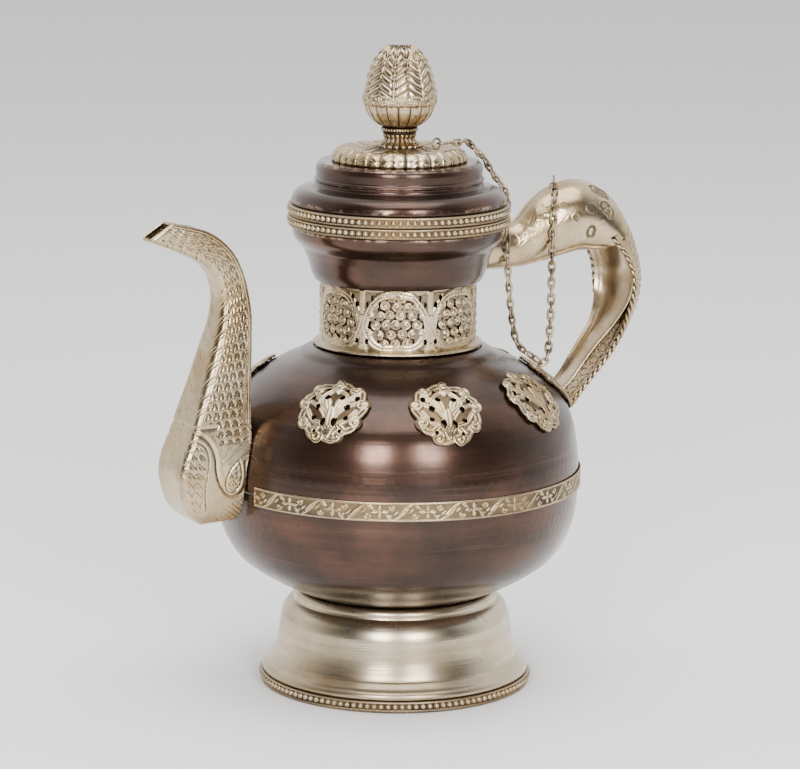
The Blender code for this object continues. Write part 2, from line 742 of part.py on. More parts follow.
spout_rings = [spout_section(station, 0.0, 0.0) for station in SPOUT_STATIONS]
spout_body = loft("spout_body", spout_rings, WHITE_METAL, 0.3)
hollow_rings = [
    spout_section(station, SPOUT_SHEET, 6 * MM)
    for station in (SPOUT_BEYOND, *SPOUT_STATIONS[:SPOUT_FLOOR])
]
spout_hollow = hide_cutter(loft("spout_hollow", hollow_rings, DARK_COPPER, 0.5))
cut(spout_body, spout_hollow, "hollow")
cut(spout_body, belly_envelope, "belly")
back_rings = [back_section(station) for station in SPOUT_STATIONS[:SPOUT_BACK_END]]
spout_back = loft("spout_back", back_rings, WHITE_METAL, 0.3)
cut(spout_back, belly_envelope, "belly")

# ---- handle -------------------------------------------------------------------------


def head_section(station, sheet):
    """An upright oval across the head, made smaller by the sheet."""
    out, up, slope, height_share, width_share = station
    turn = math.radians(slope)
    upward = Vector((-math.sin(turn), 0.0, math.cos(turn)))
    sideways = Vector((0.0, 1.0, 0.0))
    centre = Vector((COLLAR_RADIUS + out * MM, 0.0, COLLAR_BOTTOM + up * MM))
    high = height_share * HEAD_HEIGHT / 2 - sheet
    wide = width_share * HEAD_WIDTH / 2 - sheet
    points = 16
    turns = [math.tau * i / points for i in range(points)]
    return [centre + upward * high * math.cos(t) + sideways * wide * math.sin(t) for t in turns]


def head_loft(name, stations, sheet):
    rings = [head_section(station, sheet) for station in stations]
    return loft(name, rings, WHITE_METAL, 0.3)


handle_head = head_loft("handle_head", HEAD_STATIONS, 0.0)
hollow_stations = (HEAD_BEFORE, *HEAD_STATIONS, HEAD_AFTER)
head_hollow = hide_cutter(head_loft("head_hollow", hollow_stations, HANDLE_SHEET))
cut(handle_head, head_hollow, "hollow")
cut(handle_head, collar_envelope, "collar")


def strap_section(station, width):
    """A curved strip section, open towards the belly."""
    follow, out, up, facing, share, depth = station
    radius = COLLAR_RADIUS + (BELLY_RADIUS - COLLAR_RADIUS) * follow
    height = COLLAR_BOTTOM + (TERMINAL_HEIGHT - COLLAR_BOTTOM) * follow
    peak = Vector((radius + out * MM, 0.0, height + up * MM))
    turn = math.radians(facing)
    outward = Vector((math.cos(turn), 0.0, math.sin(turn)))
    half = share * width / 2
    steps = 5
    outer = []
    inner = []
    for i in range(-steps, steps + 1):
        u = i / steps
        drop = depth * MM * abs(u) ** 2.4
        outer.append(peak - outward * drop + Vector((0.0, half * u, 0.0)))
        inside = Vector((0.0, (half - HANDLE_SHEET) * u, 0.0))
        inner.append(peak - outward * (drop + HANDLE_SHEET) + inside)
    return outer + inner[::-1]


head_envelope = hide_cutter(head_loft("head_envelope", HEAD_STATIONS, -GAP))
straps = []
for name, stations, width in (
    ("handle_channel", CHANNEL_STATIONS, CHANNEL_WIDTH),
    ("handle_spine", SPINE_STATIONS, SPINE_WIDTH),
):
    strap_rings = [strap_section(station, width) for station in stations]
    strap = loft(name, strap_rings, WHITE_METAL, 0.3)
    cut(strap, belly_envelope, "belly")
    cut(strap, head_envelope, "head")
    straps.append(strap)

terminal_rings = []
for out, share in TERMINAL_SHAPE:
    far, radius = BELLY_RADIUS + out * MM, share * TERMINAL_RADIUS
    turns = [math.tau * i / 18 for i in range(18)]
    terminal_rings.append(
        [
            (far, radius * math.cos(turn), TERMINAL_HEIGHT + radius * math.sin(turn))
            for turn in turns
        ]
    )
loft("handle_terminal", terminal_rings, WHITE_METAL, 0.3)

# ---- medallions ---------------------------------------------------------------------


def belly_at(arc):
    """Radius, height and outward normal of the belly, an arc length below its top point."""
    for (r0, z0), (r1, z1) in zip(belly_outer, belly_outer[1:]):
        length = math.hypot(r1 - r0, z1 - z0)
        if arc <= length:
            share = arc / length
            radius, height = r0 + (r1 - r0) * share, z0 + (z1 - z0) * share
            return radius, height, (z0 - z1) / length, (r1 - r0) / length
        arc -= length
    return None


def arc_at_height(height):
    arc = 0.0
    for (r0, z0), (r1, z1) in zip(belly_outer, belly_outer[1:]):
        length = math.hypot(r1 - r0, z1 - z0)
        if z1 <= height:
            return arc + length * (z0 - height) / (z0 - z1)
        arc += length
    return arc


medallion_arc = arc_at_height(BELLY_TOP - MEDALLION_DROP)


def medallion_point(across, down, turn, lift):
    radius, height, out_r, out_z = belly_at(medallion_arc + down)
    angle = turn + across / radius
    far = radius + out_r * lift
    return (far * math.cos(angle), far * math.sin(angle), height + out_z * lift)


def medallion(name, turn, margin=0.0):
    """A round plate that follows the belly, grown all round by the margin."""
    spokes, circles = 16, 3
    vertices = []
    for lift in (MEDALLION_LIFT - margin, MEDALLION_LIFT + MEDALLION_THICKNESS + margin):
        vertices.append(medallion_point(0.0, 0.0, turn, lift))
        for ring in range(1, circles + 1):
            for spoke in range(spokes):
                at = math.tau * spoke / spokes
                reach = (MEDALLION_RADIUS + margin) * ring / circles
                vertices.append(
                    medallion_point(reach * math.cos(at), reach * math.sin(at), turn, lift)
                )
    side = 1 + spokes * circles
    faces = []
    for base in (0, side):
        for i in range(spokes):
            j = (i + 1) % spokes
            faces.append((base, base + 1 + i, base + 1 + j))
            for ring in range(circles - 1):
                a = base + 1 + ring * spokes
                b = a + spokes
                faces.append((a + i, b + i, b + j, a + j))
    rim = 1 + (circles - 1) * spokes
    for i in range(spokes):
        j = (i + 1) % spokes
        faces.append((rim + i, side + rim + i, side + rim + j, rim + j))
    mesh = bpy.data.meshes.new(name)
    mesh.from_pydata(vertices, [], faces)
    build = bmesh.new()
    build.from_mesh(mesh)
    bmesh.ops.recalc_face_normals(build, faces=build.faces)
    build.to_mesh(mesh)
    build.free()
    return place(name, mesh, WHITE_METAL, 0.3)


medallion_turns = [math.pi + math.radians(a) for a in MEDALLION_ANGLES]
medallion_turns += [math.pi - math.radians(a) for a in MEDALLION_ANGLES[::-1]]
for number, medallion_turn in enumerate(medallion_turns, 1):
    medallion(f"medallion_{number}", medallion_turn)
    clearance = hide_cutter(medallion(f"clearance_{number}", medallion_turn, GAP))
    for strap in straps:
        cut(strap, clearance, f"medallion {number}")

# ---- eyes, jump rings and chain -----------------------------------------------------
UP = Vector((0.0, 0.0, 1.0))


def hang_ring(eye, eye_centre, pull, ring):
    """An eye and the jump ring threaded on its wire, turned to face where the chain pulls."""
    heading, dip = (math.radians(angle) for angle in pull)
    level = Vector((math.cos(heading), math.sin(heading), 0.0))
    reach = level * math.cos(dip) - UP * math.sin(dip)
    eye_normal = level.cross(UP)
    wire_ring(eye, eye_centre, EYE_RADIUS, EYE_WIRE, eye_normal, eye_centre)
    pivot = eye_centre + reach * EYE_RADIUS
    centre = pivot + reach * (JUMP_RADIUS - JUMP_WIRE - EYE_WIRE - GAP)
    wire_ring(ring, centre, JUMP_RADIUS, JUMP_WIRE, eye_normal.cross(reach), pivot)


eye_lift = EYE_RADIUS + EYE_WIRE + GAP
lid_eye_out = Vector((math.cos(LID_EYE_ANGLE), math.sin(LID_EYE_ANGLE), 0.0))
lid_eye_centre = lid_eye_out * LID_EYE_OUT + UP * (rosette_top + eye_lift)
hang_ring("lid_eye", lid_eye_centre, LID_PULL, "lid_jump_ring")

eye_stations = HEAD_STATIONS[HANDLE_EYE_STATION : HANDLE_EYE_STATION + 2]
ridge = [head_section(station, 0.0)[0] for station in eye_stations]
ridge_point = ridge[0].lerp(ridge[1], HANDLE_EYE_SHARE)
hang_ring("handle_eye", ridge_point + UP * eye_lift, HANDLE_PULL, "handle_jump_ring")

cord_tube("chain_lid_run", LID_RUN)
cord_tube("chain_handle_run", HANDLE_RUN)
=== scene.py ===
"""Looks of the copper jug: turned copper body, spun foot, chased white-metal mounts and a link chain.

Lengths are in millimetres until a mesh is made, and metres in the scene. The spout points along -X,
the handle along +X, and +Z is the jug's axis.
"""

import math

import bpy
import numpy as np
from mathutils import Matrix, Vector


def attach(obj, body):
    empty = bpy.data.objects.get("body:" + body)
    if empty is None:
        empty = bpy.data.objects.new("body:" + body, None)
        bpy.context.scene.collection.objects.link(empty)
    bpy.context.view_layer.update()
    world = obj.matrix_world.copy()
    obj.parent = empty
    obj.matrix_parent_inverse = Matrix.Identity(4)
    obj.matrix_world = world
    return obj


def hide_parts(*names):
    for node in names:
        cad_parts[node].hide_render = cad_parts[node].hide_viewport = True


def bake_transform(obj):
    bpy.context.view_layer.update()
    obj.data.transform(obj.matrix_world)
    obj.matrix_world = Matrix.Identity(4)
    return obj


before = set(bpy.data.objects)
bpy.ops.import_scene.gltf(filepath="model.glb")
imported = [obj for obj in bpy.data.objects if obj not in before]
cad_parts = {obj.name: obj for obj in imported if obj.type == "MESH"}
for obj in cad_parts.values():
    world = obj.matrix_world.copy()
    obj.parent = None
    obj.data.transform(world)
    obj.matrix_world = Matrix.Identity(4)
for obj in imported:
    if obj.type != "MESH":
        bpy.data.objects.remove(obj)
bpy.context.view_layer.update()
MM = 0.001
FINE = 1.0  # share of the full mesh density
random = np.random.default_rng(7)

# ---- camera -------------------------------------------------------------------------
CAMERA_DISTANCE = 1.75
CAMERA_HEIGHT = 0.501
CAMERA_AZIMUTH = math.radians(-28.0)
CAMERA_PITCH = math.radians(11.1085)
CAMERA_YAW = math.radians(-0.0472)
CAMERA_ROLL = math.radians(0.55)
SENSOR_WIDTH = 36.0
LENS = 153.54


def add_camera():
    data = bpy.data.cameras.new("camera")
    data.sensor_width = SENSOR_WIDTH
    data.lens = LENS
    data.clip_end = 30.0
    camera = bpy.data.objects.new("camera", data)
    bpy.context.scene.collection.objects.link(camera)
    heading = CAMERA_AZIMUTH + CAMERA_YAW
    back = Vector((math.sin(heading), -math.cos(heading), 0.0))
    forward = -back * math.cos(CAMERA_PITCH) - Vector((0.0, 0.0, math.sin(CAMERA_PITCH)))
    level = Vector((math.cos(heading), math.sin(heading), 0.0))
    upright = level.cross(forward)
    right = level * math.cos(CAMERA_ROLL) + upright * math.sin(CAMERA_ROLL)
    up = upright * math.cos(CAMERA_ROLL) - level * math.sin(CAMERA_ROLL)
    place = Matrix((right, up, -forward)).transposed().to_4x4()
    place.translation = (
        CAMERA_DISTANCE * math.sin(CAMERA_AZIMUTH),
        -CAMERA_DISTANCE * math.cos(CAMERA_AZIMUTH),
        CAMERA_HEIGHT,
    )
    camera.matrix_world = place
    bpy.context.scene.camera = camera


add_camera()


# ---- lines, profiles and grids ------------------------------------------------------
def smooth(points, step):
    """Evenly spaced points, about step apart, on a Catmull-Rom curve through the given ones."""
    given = np.array(points, float)
    padded = np.vstack([2 * given[0] - given[1], given, 2 * given[-1] - given[-2]])
    share = np.linspace(0, 1, 24, endpoint=False)[:, None]
    pieces = []
    for p0, p1, p2, p3 in zip(padded, padded[1:], padded[2:], padded[3:]):
        pieces.append(
            0.5
            * (
                2 * p1
                + (p2 - p0) * share
                + (2 * p0 - 5 * p1 + 4 * p2 - p3) * share**2
                + (3 * p1 - p0 - 3 * p2 + p3) * share**3
            )
        )
    fine = np.vstack([*pieces, given[-1:]])
    at = np.concatenate([[0], np.cumsum(np.linalg.norm(np.diff(fine, axis=0), axis=1))])
    count = max(2, int(round(at[-1] / step)))
    wanted = np.linspace(0, at[-1], count + 1)
    return np.stack([np.interp(wanted, at, fine[:, i]) for i in range(given.shape[1])], 1)


def profile(runs, step):
    """One profile from smooth runs that meet in creases."""
    parts = [smooth(run, step) for run in runs]
    return np.vstack([parts[0], *[part[1:] for part in parts[1:]]])


def arc_of(line):
    return np.concatenate([[0], np.cumsum(np.linalg.norm(np.diff(line, axis=0), axis=1))])


def normals_of(points, loop_u, loop_v):
    """Unit normals of a grid of points."""

    def slope(axis, loop):
        if loop:
            return np.roll(points, -1, axis) - np.roll(points, 1, axis)
        return np.gradient(points, axis=axis)

    normal = np.cross(slope(0, loop_u), slope(1, loop_v))
    return normal / np.maximum(np.linalg.norm(normal, axis=-1, keepdims=True), 1e-12)


def raised(points, height, loop_u=False, loop_v=False, side=1.0):
    return points + side * height[..., None] * normals_of(points, loop_u, loop_v)


def grid_mesh(name, points, relief=None, loop_u=False, loop_v=False, keep=None, flip=False):
    """A piece from a grid of points in millimetres. keep says which grid cells it has."""
    rows, cols = points.shape[:2]
    index = np.arange(rows * cols).reshape(rows, cols)
    if loop_u:
        index = np.vstack([index, index[:1]])
    if loop_v:
        index = np.hstack([index, index[:, :1]])
    quads = np.stack([index[:-1, :-1], index[1:, :-1], index[1:, 1:], index[:-1, 1:]], -1)
    if flip:
        quads = quads[..., ::-1]
    quads = quads.reshape(-1, 4) if keep is None else quads[keep]
    used, quads = np.unique(quads, return_inverse=True)
    values = None if relief is None else relief.reshape(-1)[used]
    return raw_mesh(name, points.reshape(-1, 3)[used], quads.reshape(-1, 4), values)


def raw_mesh(name, points, quads, relief=None):
    mesh = bpy.data.meshes.new(name)
    mesh.vertices.add(len(points))
    mesh.vertices.foreach_set("co", (points * MM).astype(np.float32).ravel())
    mesh.loops.add(quads.size)
    mesh.loops.foreach_set("vertex_index", quads.astype(np.int32).ravel())
    mesh.polygons.add(len(quads))
    mesh.polygons.foreach_set("loop_start", np.arange(0, quads.size, 4, dtype=np.int32))
    if relief is not None:
        layer = mesh.attributes.new("relief", "FLOAT", "POINT")
        layer.data.foreach_set("value", np.clip(relief, 0, 1).astype(np.float32).ravel())
    mesh.update(calc_edges=True)
    mesh.validate()
    mesh.shade_smooth()
    obj = bpy.data.objects.new(name, mesh)
    bpy.context.scene.collection.objects.link(obj)
    return obj


def finish_piece(obj, body, nodes, material, thickness=0.0):
    """Gives a new piece its material, its place in the frame and, if asked, a sheet's thickness."""
    obj.data.materials.append(material)
    if thickness:
        sheet = obj.modifiers.new("sheet", "SOLIDIFY")
        sheet.thickness = thickness * MM
        sheet.offset = -1.0
        sheet.use_rim = True
    if body:
        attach(obj, body)
    if nodes:
        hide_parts(*nodes)
    return obj


def turned_points(line, turns):
    """Grid of points from a (radius, height) line turned through the angles."""
    radius, height = line[:, 0], line[:, 1]
    x = np.cos(turns)[:, None] * radius
    y = np.sin(turns)[:, None] * radius
    return np.stack([x, y, np.broadcast_to(height, x.shape)], -1)


def circle(count):
    return np.arange(count) * (math.tau / count)


def many(count):
    return max(8, int(count * FINE))


def dome(distance, radius):
    return np.sqrt(np.clip(1 - (distance / radius) ** 2, 0, 1))


def ridge(distance, width):
    return np.exp(-((distance / width) ** 2))


def step_up(value, low, high):
    share = np.clip((value - low) / (high - low), 0, 1)
    return share * share * (3 - 2 * share)


def to_line(x, y, points, pitch=0.4):
    """Distance from every (x, y) to a smooth line through the points."""
    line = smooth(points, pitch)
    best = np.full(x.shape, 1e9)
    for px, py in line:
        np.minimum(best, (x - px) ** 2 + (y - py) ** 2, out=best)
    return np.sqrt(best)


def spiral(x, y, cx, cy, radius, turns=1.4, start=0.0, hand=1.0):
    """Distance to a small scroll that winds in to its centre."""
    share = np.linspace(0, 1, 26)
    angle = start + hand * share * turns * math.tau
    reach = radius * (1 - 0.86 * share)
    points = np.stack([cx + reach * np.cos(angle), cy + reach * np.sin(angle)], 1)
    return to_line(x, y, points, 0.25)


# ---- chain --------------------------------------------------------------------------
LINK_PITCH = 4.3
LINK_WIDTH = 3.1  # between wire centres
WIRE_RADIUS = 0.68
LID_RUN = [
    (16.9, -20.4, 285.8),
    (20.5, -19.5, 285.6),
    (24.6, -18.6, 285.4),
    (29.6, -17.2, 285.3),
    (33.0, -15.6, 283.8),
    (38.4, -14.2, 279.0),
    (42.8, -13.0, 275.4),
    (47.0, -11.8, 269.8),
    (51.2, -10.7, 264.8),
    (55.2, -9.8, 260.4),
    (58.6, -9.2, 256.0),
    (59.5, -9.0, 250.5),
    (59.6, -9.0, 243.0),
    (59.7, -9.1, 230.0),
    (60.2, -9.4, 215.0),
    (61.4, -9.8, 200.0),
    (63.0, -10.2, 187.0),
    (65.2, -10.6, 177.4),
    (69.0, -11.6, 172.2),
    (72.6, -13.0, 169.4),
]
HANDLE_RUN = [
    (89.6, -5.6, 256.2),
    (88.2, -8.4, 254.8),
    (86.4, -11.8, 252.2),
    (84.8, -14.6, 247.6),
    (83.6, -15.6, 241.0),
    (83.2, -15.9, 234.0),
    (83.0, -15.9, 215.0),
    (82.9, -15.9, 195.0),
    (82.4, -15.7, 178.0),
    (81.4, -15.4, 168.6),
    (78.6, -14.8, 165.0),
    (75.8, -14.0, 167.0),
]


def link_shape(pitch, around=26, ring=8):
    """Points and quads of one oval link along X, twisted a little about X."""
    half = (pitch - LINK_WIDTH) / 2 + 2 * WIRE_RADIUS * 0.55
    share = circle(around)
    straight = np.clip(np.cos(share) * 1.6, -1, 1) * half
    x = straight + np.cos(share) * LINK_WIDTH / 2
    y = np.sin(share) * LINK_WIDTH / 2
    twist = 0.32 * np.sin(2 * share)
    centre = np.stack([x, y, twist], 1)
    ahead = np.roll(centre, -1, 0) - np.roll(centre, 1, 0)
    ahead /= np.linalg.norm(ahead, axis=1, keepdims=True)
    out = np.cross(ahead, (0, 0, 1))
    out /= np.linalg.norm(out, axis=1, keepdims=True)
    up = np.cross(out, ahead)
    turn = circle(ring)
    tube = (
        centre[:, None]
        + WIRE_RADIUS * (np.cos(turn)[:, None] * out[:, None] + np.sin(turn)[:, None] * up[:, None])
    )
    index = np.arange(around * ring).reshape(around, ring)
    a, b = index, np.roll(index, -1, 0)
    quads = np.stack([a, b, np.roll(b, -1, 1), np.roll(a, -1, 1)], -1).reshape(-1, 4)
    return tube.reshape(-1, 3), quads


def chain(name, run, node, start_turn, material, beyond=()):
    """Twisted links along a run, and on through any points beyond its end."""
    path = [tuple(point * MM) for point in smooth(run, 4.4)]
    run = [*run, *beyond]
    line = smooth(run, 0.5)
    length = arc_of(line)[-1]
    links = int(round(length / LINK_PITCH))
    pitch = length / links
    centres = smooth(run, pitch / 2)[1::2]
    ends = smooth(run, pitch)
    shape, quads = link_shape(pitch)
    points, faces = [], []
    side = np.array([0.0, 1.0, 0.0])
    for i, centre in enumerate(centres[:links]):
        along = ends[i + 1] - ends[i]
        along /= np.linalg.norm(along)
        side = side - along * side.dot(along)
        side /= np.linalg.norm(side)
        up = np.cross(along, side)
        turn = start_turn + (0.66 if i % 2 else -0.66) + random.normal(0, 0.05)
        across = side * math.cos(turn) + up * math.sin(turn)
        rise = np.cross(along, across)
        faces.append(quads + len(shape) * i)
        points.append(centre + shape @ np.stack([along, across, rise]))
    obj = raw_mesh(name, np.vstack(points), np.vstack(faces))
    obj.data.materials.append(material)
    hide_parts(node)
    return obj, path, arc_of(np.array(path))[-1]


# ---- materials ----------------------------------------------------------------------
class Shader:
    """A small helper that adds linked nodes to one material."""

    def __init__(self, name):
        self.material = bpy.data.materials.new(name)
        self.material.use_nodes = True
        self.tree = self.material.node_tree
        self.surface = self.tree.nodes["Principled BSDF"]
        self.object = self.add("ShaderNodeTexCoord").outputs["Object"]

    def add(self, kind, links=(), **settings):
        node = self.tree.nodes.new(kind)
        for key, value in settings.items():
            setattr(node, key, value)
        for socket, source in links:
            self.put(node, socket, source)
        return node

    def put(self, node, socket, source):
        if isinstance(source, bpy.types.NodeSocket):
            self.tree.links.new(source, node.inputs[socket])
        else:
            node.inputs[socket].default_value = source

    def math(self, operation, *sources, clamp=False):
        links = list(enumerate(sources))
        return self.add("ShaderNodeMath", links, operation=operation, use_clamp=clamp).outputs[0]

    def noise(self, vector, scale, detail=3.0, roughness=0.55):
        links = [("Vector", vector), ("Scale", scale), ("Detail", detail), ("Roughness", roughness)]
        return self.add("ShaderNodeTexNoise", links).outputs["Fac"]

    def ramp(self, source, *stops):
        node = self.add("ShaderNodeValToRGB", [("Fac", source)])
        elements = node.color_ramp.elements
        while len(elements) < len(stops):
            elements.new(0.5)
        for element, (position, colour) in zip(elements, stops):
            element.position = position
            element.color = (*colour, 1.0)
        return node.outputs["Color"]

    def level(self, source, low, high, to_low, to_high):
        links = [(0, source), (1, low), (2, high), (3, to_low), (4, to_high)]
        return self.add("ShaderNodeMapRange", links).outputs[0]

    def mix(self, share, first, second, blend="MIX"):
        node = self.add("ShaderNodeMix", data_type="RGBA", blend_type=blend)
        self.put(node, 0, share)
        self.put(node, 6, first)
        self.put(node, 7, second)
        return node.outputs[2]

    def lathe_coordinate(self):
        """A coordinate that runs along a turned surface's profile and hardly around it."""
        parts = self.add("ShaderNodeSeparateXYZ", [(0, self.object)])
        x, y, z = parts.outputs
        radius = self.math("SQRT", self.math("ADD", self.math("MULTIPLY", x, x), self.math("MULTIPLY", y, y)))
        run = self.math("SUBTRACT", z, self.math("MULTIPLY", radius, 0.8))
        around = self.math("ARCTAN2", y, x)
        links = [(0, self.math("MULTIPLY", around, 0.0025)), (1, 0.0), (2, run)]
        return self.add("ShaderNodeCombineXYZ", links).outputs[0]

    def bump(self, height, distance, normal=None):
        links = [("Height", height), ("Strength", 1.0), ("Distance", distance)]
        if normal is not None:
            links.append(("Normal", normal))
        return self.add("ShaderNodeBump", links).outputs[0]

    def set(self, socket, source):
        self.put(self.surface, socket, source)


def copper(name, dark=1.0, rough=0.25, worn=()):
    """Dark patinated copper, lathe-spun: fine rings, warm patches and worn streaks."""
    s = Shader(name)
    lathe = s.lathe_coordinate()
    patches = s.noise(s.object, 26.0, 4.0, 0.6)
    fine = s.noise(s.object, 240.0, 3.0, 0.6)
    rings = s.noise(lathe, 620.0, 2.0, 0.5)
    bands = s.noise(lathe, 90.0, 3.0, 0.6)
    tone = s.math("ADD", s.math("MULTIPLY", patches, 0.62), s.math("MULTIPLY", bands, 0.38))
    colour = s.ramp(
        tone,
        (0.36, (0.026 * dark, 0.0155 * dark, 0.0110 * dark)),
        (0.50, (0.052 * dark, 0.0270 * dark, 0.0180 * dark)),
        (0.66, (0.105 * dark, 0.0490 * dark, 0.0300 * dark)),
    )
    streak = s.level(rings, 0.60, 0.78, 0.0, 0.24)
    colour = s.mix(streak, colour, (0.22, 0.115, 0.08, 1.0))
    specks = s.level(fine, 0.66, 0.74, 0.0, 0.5)
    colour = s.mix(specks, colour, (0.035, 0.018, 0.013, 1.0))
    height_now = s.add("ShaderNodeSeparateXYZ", [(0, s.object)]).outputs[2]
    for edge, width in worn:
        away = s.math("ABSOLUTE", s.math("SUBTRACT", height_now, edge * MM))
        rub = s.math("MULTIPLY", s.level(away, 0.0, width * MM, 1.0, 0.0), s.level(fine, 0.46, 0.60, 0.0, 1.0))
        colour = s.mix(s.math("MULTIPLY", rub, s.level(patches, 0.42, 0.56, 0.1, 0.95)), colour, (0.46, 0.30, 0.21, 1.0))
    s.set("Base Color", colour)
    s.set("Metallic", 0.84)
    s.set("Roughness", s.level(patches, 0.3, 0.7, rough + 0.08, rough - 0.06))
    height = s.math("ADD", s.math("MULTIPLY", rings, 0.5), s.math("MULTIPLY", fine, 0.35))
    s.set("Normal", s.bump(height, 0.00012))
    s.set("Coat Weight", 0.30)
    s.set("Coat Roughness", 0.20)
    return s.material


def white_metal(name, light=(0.60, 0.495, 0.335), warm=(0.47, 0.345, 0.185), rough=0.20, recess=1.0, chased=True):
    """Chased white metal: dark grime in the low places, rubbed bright on the high ones."""
    s = Shader(name)
    relief = s.add("ShaderNodeAttribute", attribute_name="relief").outputs["Fac"]
    clouds = s.noise(s.object, 42.0, 4.0, 0.6)
    grain = s.noise(s.object, 420.0, 3.0, 0.65)
    low = relief if chased else 0.8
    dirty = s.math("ADD", s.math("MULTIPLY", s.math("SUBTRACT", clouds, 0.5), 0.6), low)
    clean = s.mix(s.level(clouds, 0.40, 0.64, 0.0, 1.0), (*light, 1.0), (*warm, 1.0))
    grime = s.level(dirty, 0.10, 0.66, recess, 0.0)
    colour = s.mix(grime, clean, (0.062, 0.040, 0.022, 1.0))
    tarnish = s.noise(s.object, 15.0, 5.0, 0.65)
    colour = s.mix(s.level(tarnish, 0.46, 0.66, 0.0, 0.62), colour, (0.255, 0.165, 0.085, 1.0))
    spots = s.level(grain, 0.64, 0.76, 0.0, 0.55)
    colour = s.mix(spots, colour, (0.20, 0.15, 0.09, 1.0))
    s.set("Base Color", colour)
    s.set("Metallic", 1.0)
    s.set("Roughness", s.math("ADD", s.level(dirty, 0.0, 0.7, rough + 0.24, rough), s.math("MULTIPLY", grain, 0.10)))
    s.set("Normal", s.bump(s.math("ADD", clouds, s.math("MULTIPLY", grain, 0.3)), 0.00018))
    return s.material


def spun_metal(name):
    """Satin white metal with fine turning rings and faint stains."""
    s = Shader(name)
    lathe = s.lathe_coordinate()
    rings = s.noise(lathe, 900.0, 2.0, 0.5)
    bands = s.noise(lathe, 120.0, 3.0, 0.6)
    clouds = s.noise(s.object, 22.0, 4.0, 0.6)
    grain = s.noise(s.object, 300.0, 3.0, 0.6)
    colour = s.ramp(
        s.math("ADD", s.math("MULTIPLY", clouds, 0.6), s.math("MULTIPLY", bands, 0.4)),
        (0.34, (0.34, 0.245, 0.145)),
        (0.50, (0.50, 0.415, 0.285)),
        (0.64, (0.62, 0.545, 0.42)),
    )
    stain = s.level(s.math("MULTIPLY", clouds, grain), 0.36, 0.46, 0.0, 0.4)
    colour = s.mix(stain, colour, (0.24, 0.16, 0.09, 1.0))
    s.set("Base Color", colour)
    s.set("Metallic", 1.0)
    s.set("Roughness", s.level(clouds, 0.3, 0.7, 0.34, 0.22))
    s.set("Normal", s.bump(s.math("ADD", rings, s.math("MULTIPLY", bands, 0.6)), 0.00006))
    return s.material


def wire_metal(name):
    s = Shader(name)
    clouds = s.noise(s.object, 160.0, 3.0, 0.6)
    grain = s.noise(s.object, 900.0, 3.0, 0.6)
    colour = s.ramp(clouds, (0.36, (0.13, 0.10, 0.065)), (0.52, (0.40, 0.32, 0.21)), (0.70, (0.56, 0.47, 0.33)))
    s.set("Base Color", colour)
    s.set("Metallic", 1.0)
    s.set("Roughness", s.level(clouds, 0.3, 0.7, 0.46, 0.28))
    s.set("Normal", s.bump(grain, 0.00012))
    return s.material


COPPER = copper("copper_belly")
COPPER_LID = copper("copper_lid", 0.95, 0.24, ((274.6, 1.0), (255.4, 1.3), (241.2, 1.0), (265.6, 0.8)))
METAL = white_metal("white_metal_chased")
METAL_SMOOTH = white_metal("white_metal_smooth", (0.62, 0.525, 0.365), (0.47, 0.35, 0.20), 0.20, 0.9)
METAL_PLAIN = white_metal("white_metal_plain", (0.58, 0.48, 0.33), (0.45, 0.335, 0.19), 0.24, 0.9, False)
SPUN = spun_metal("white_metal_spun")
WIRE = wire_metal("wire_dark")

lid_chain, lid_path, lid_length = chain(
    "chain_links_lid", LID_RUN, "chain_lid_run", 0.5, WIRE, [(73.6, -13.3, 168.6)]
)
handle_chain, handle_path, handle_length = chain(
    "chain_links_handle", HANDLE_RUN, "chain_handle_run", 0.2, WIRE, [(74.6, -13.6, 168.2)]
)
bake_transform(lid_chain)
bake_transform(handle_chain)

# ---- copper body --------------------------------------------------------------------
AROUND = many(720)
TURNS = circle(AROUND)
WALL = 1.2


def hammered(turns, heights, band, amplitude, pitch=5.6):
    """Shallow planishing marks in staggered rows within a band of heights."""
    low, high = band
    rows = (heights - low) / pitch
    row = np.floor(rows)
    marks = round(math.tau * 94.0 / pitch)
    along = turns[:, None] / math.tau * marks + 0.5 * (row % 2)
    jitter = 0.34 * np.sin(12.9 * np.floor(along) + 7.7 * row)
    d = np.hypot(along % 1 - 0.5 + jitter * 0.5, rows % 1 - 0.5 + jitter * 0.4)
    inside = step_up(heights, low, low + 2) * (1 - step_up(heights, high - 2, high))
    return -amplitude * dome(d, 0.52) * inside


def turned_piece(name, outer, body, nodes, material, height=None, wall=WALL, keep=None):
    """A turned sheet piece: outer line top to bottom, its inner side a wall inside it."""
    normal = np.stack([np.gradient(outer[:, 1]), -np.gradient(outer[:, 0])], 1)
    normal /= np.linalg.norm(normal, axis=1, keepdims=True)
    inner = (outer + normal * wall)[::-2]
    inner[:, 0] = np.maximum(inner[:, 0], 0.01)
    points = turned_points(outer, TURNS)
    if height is not None:
        points = raised(points, height, loop_u=True, side=-1.0)
    points = np.concatenate([points, turned_points(inner, TURNS)], 1)
    relief = np.full(points.shape[:2], 0.7)
    cells = None if keep is None else keep(points)
    obj = grid_mesh(name, points, relief, loop_u=True, loop_v=True, keep=cells)
    return finish_piece(obj, body, nodes, material)


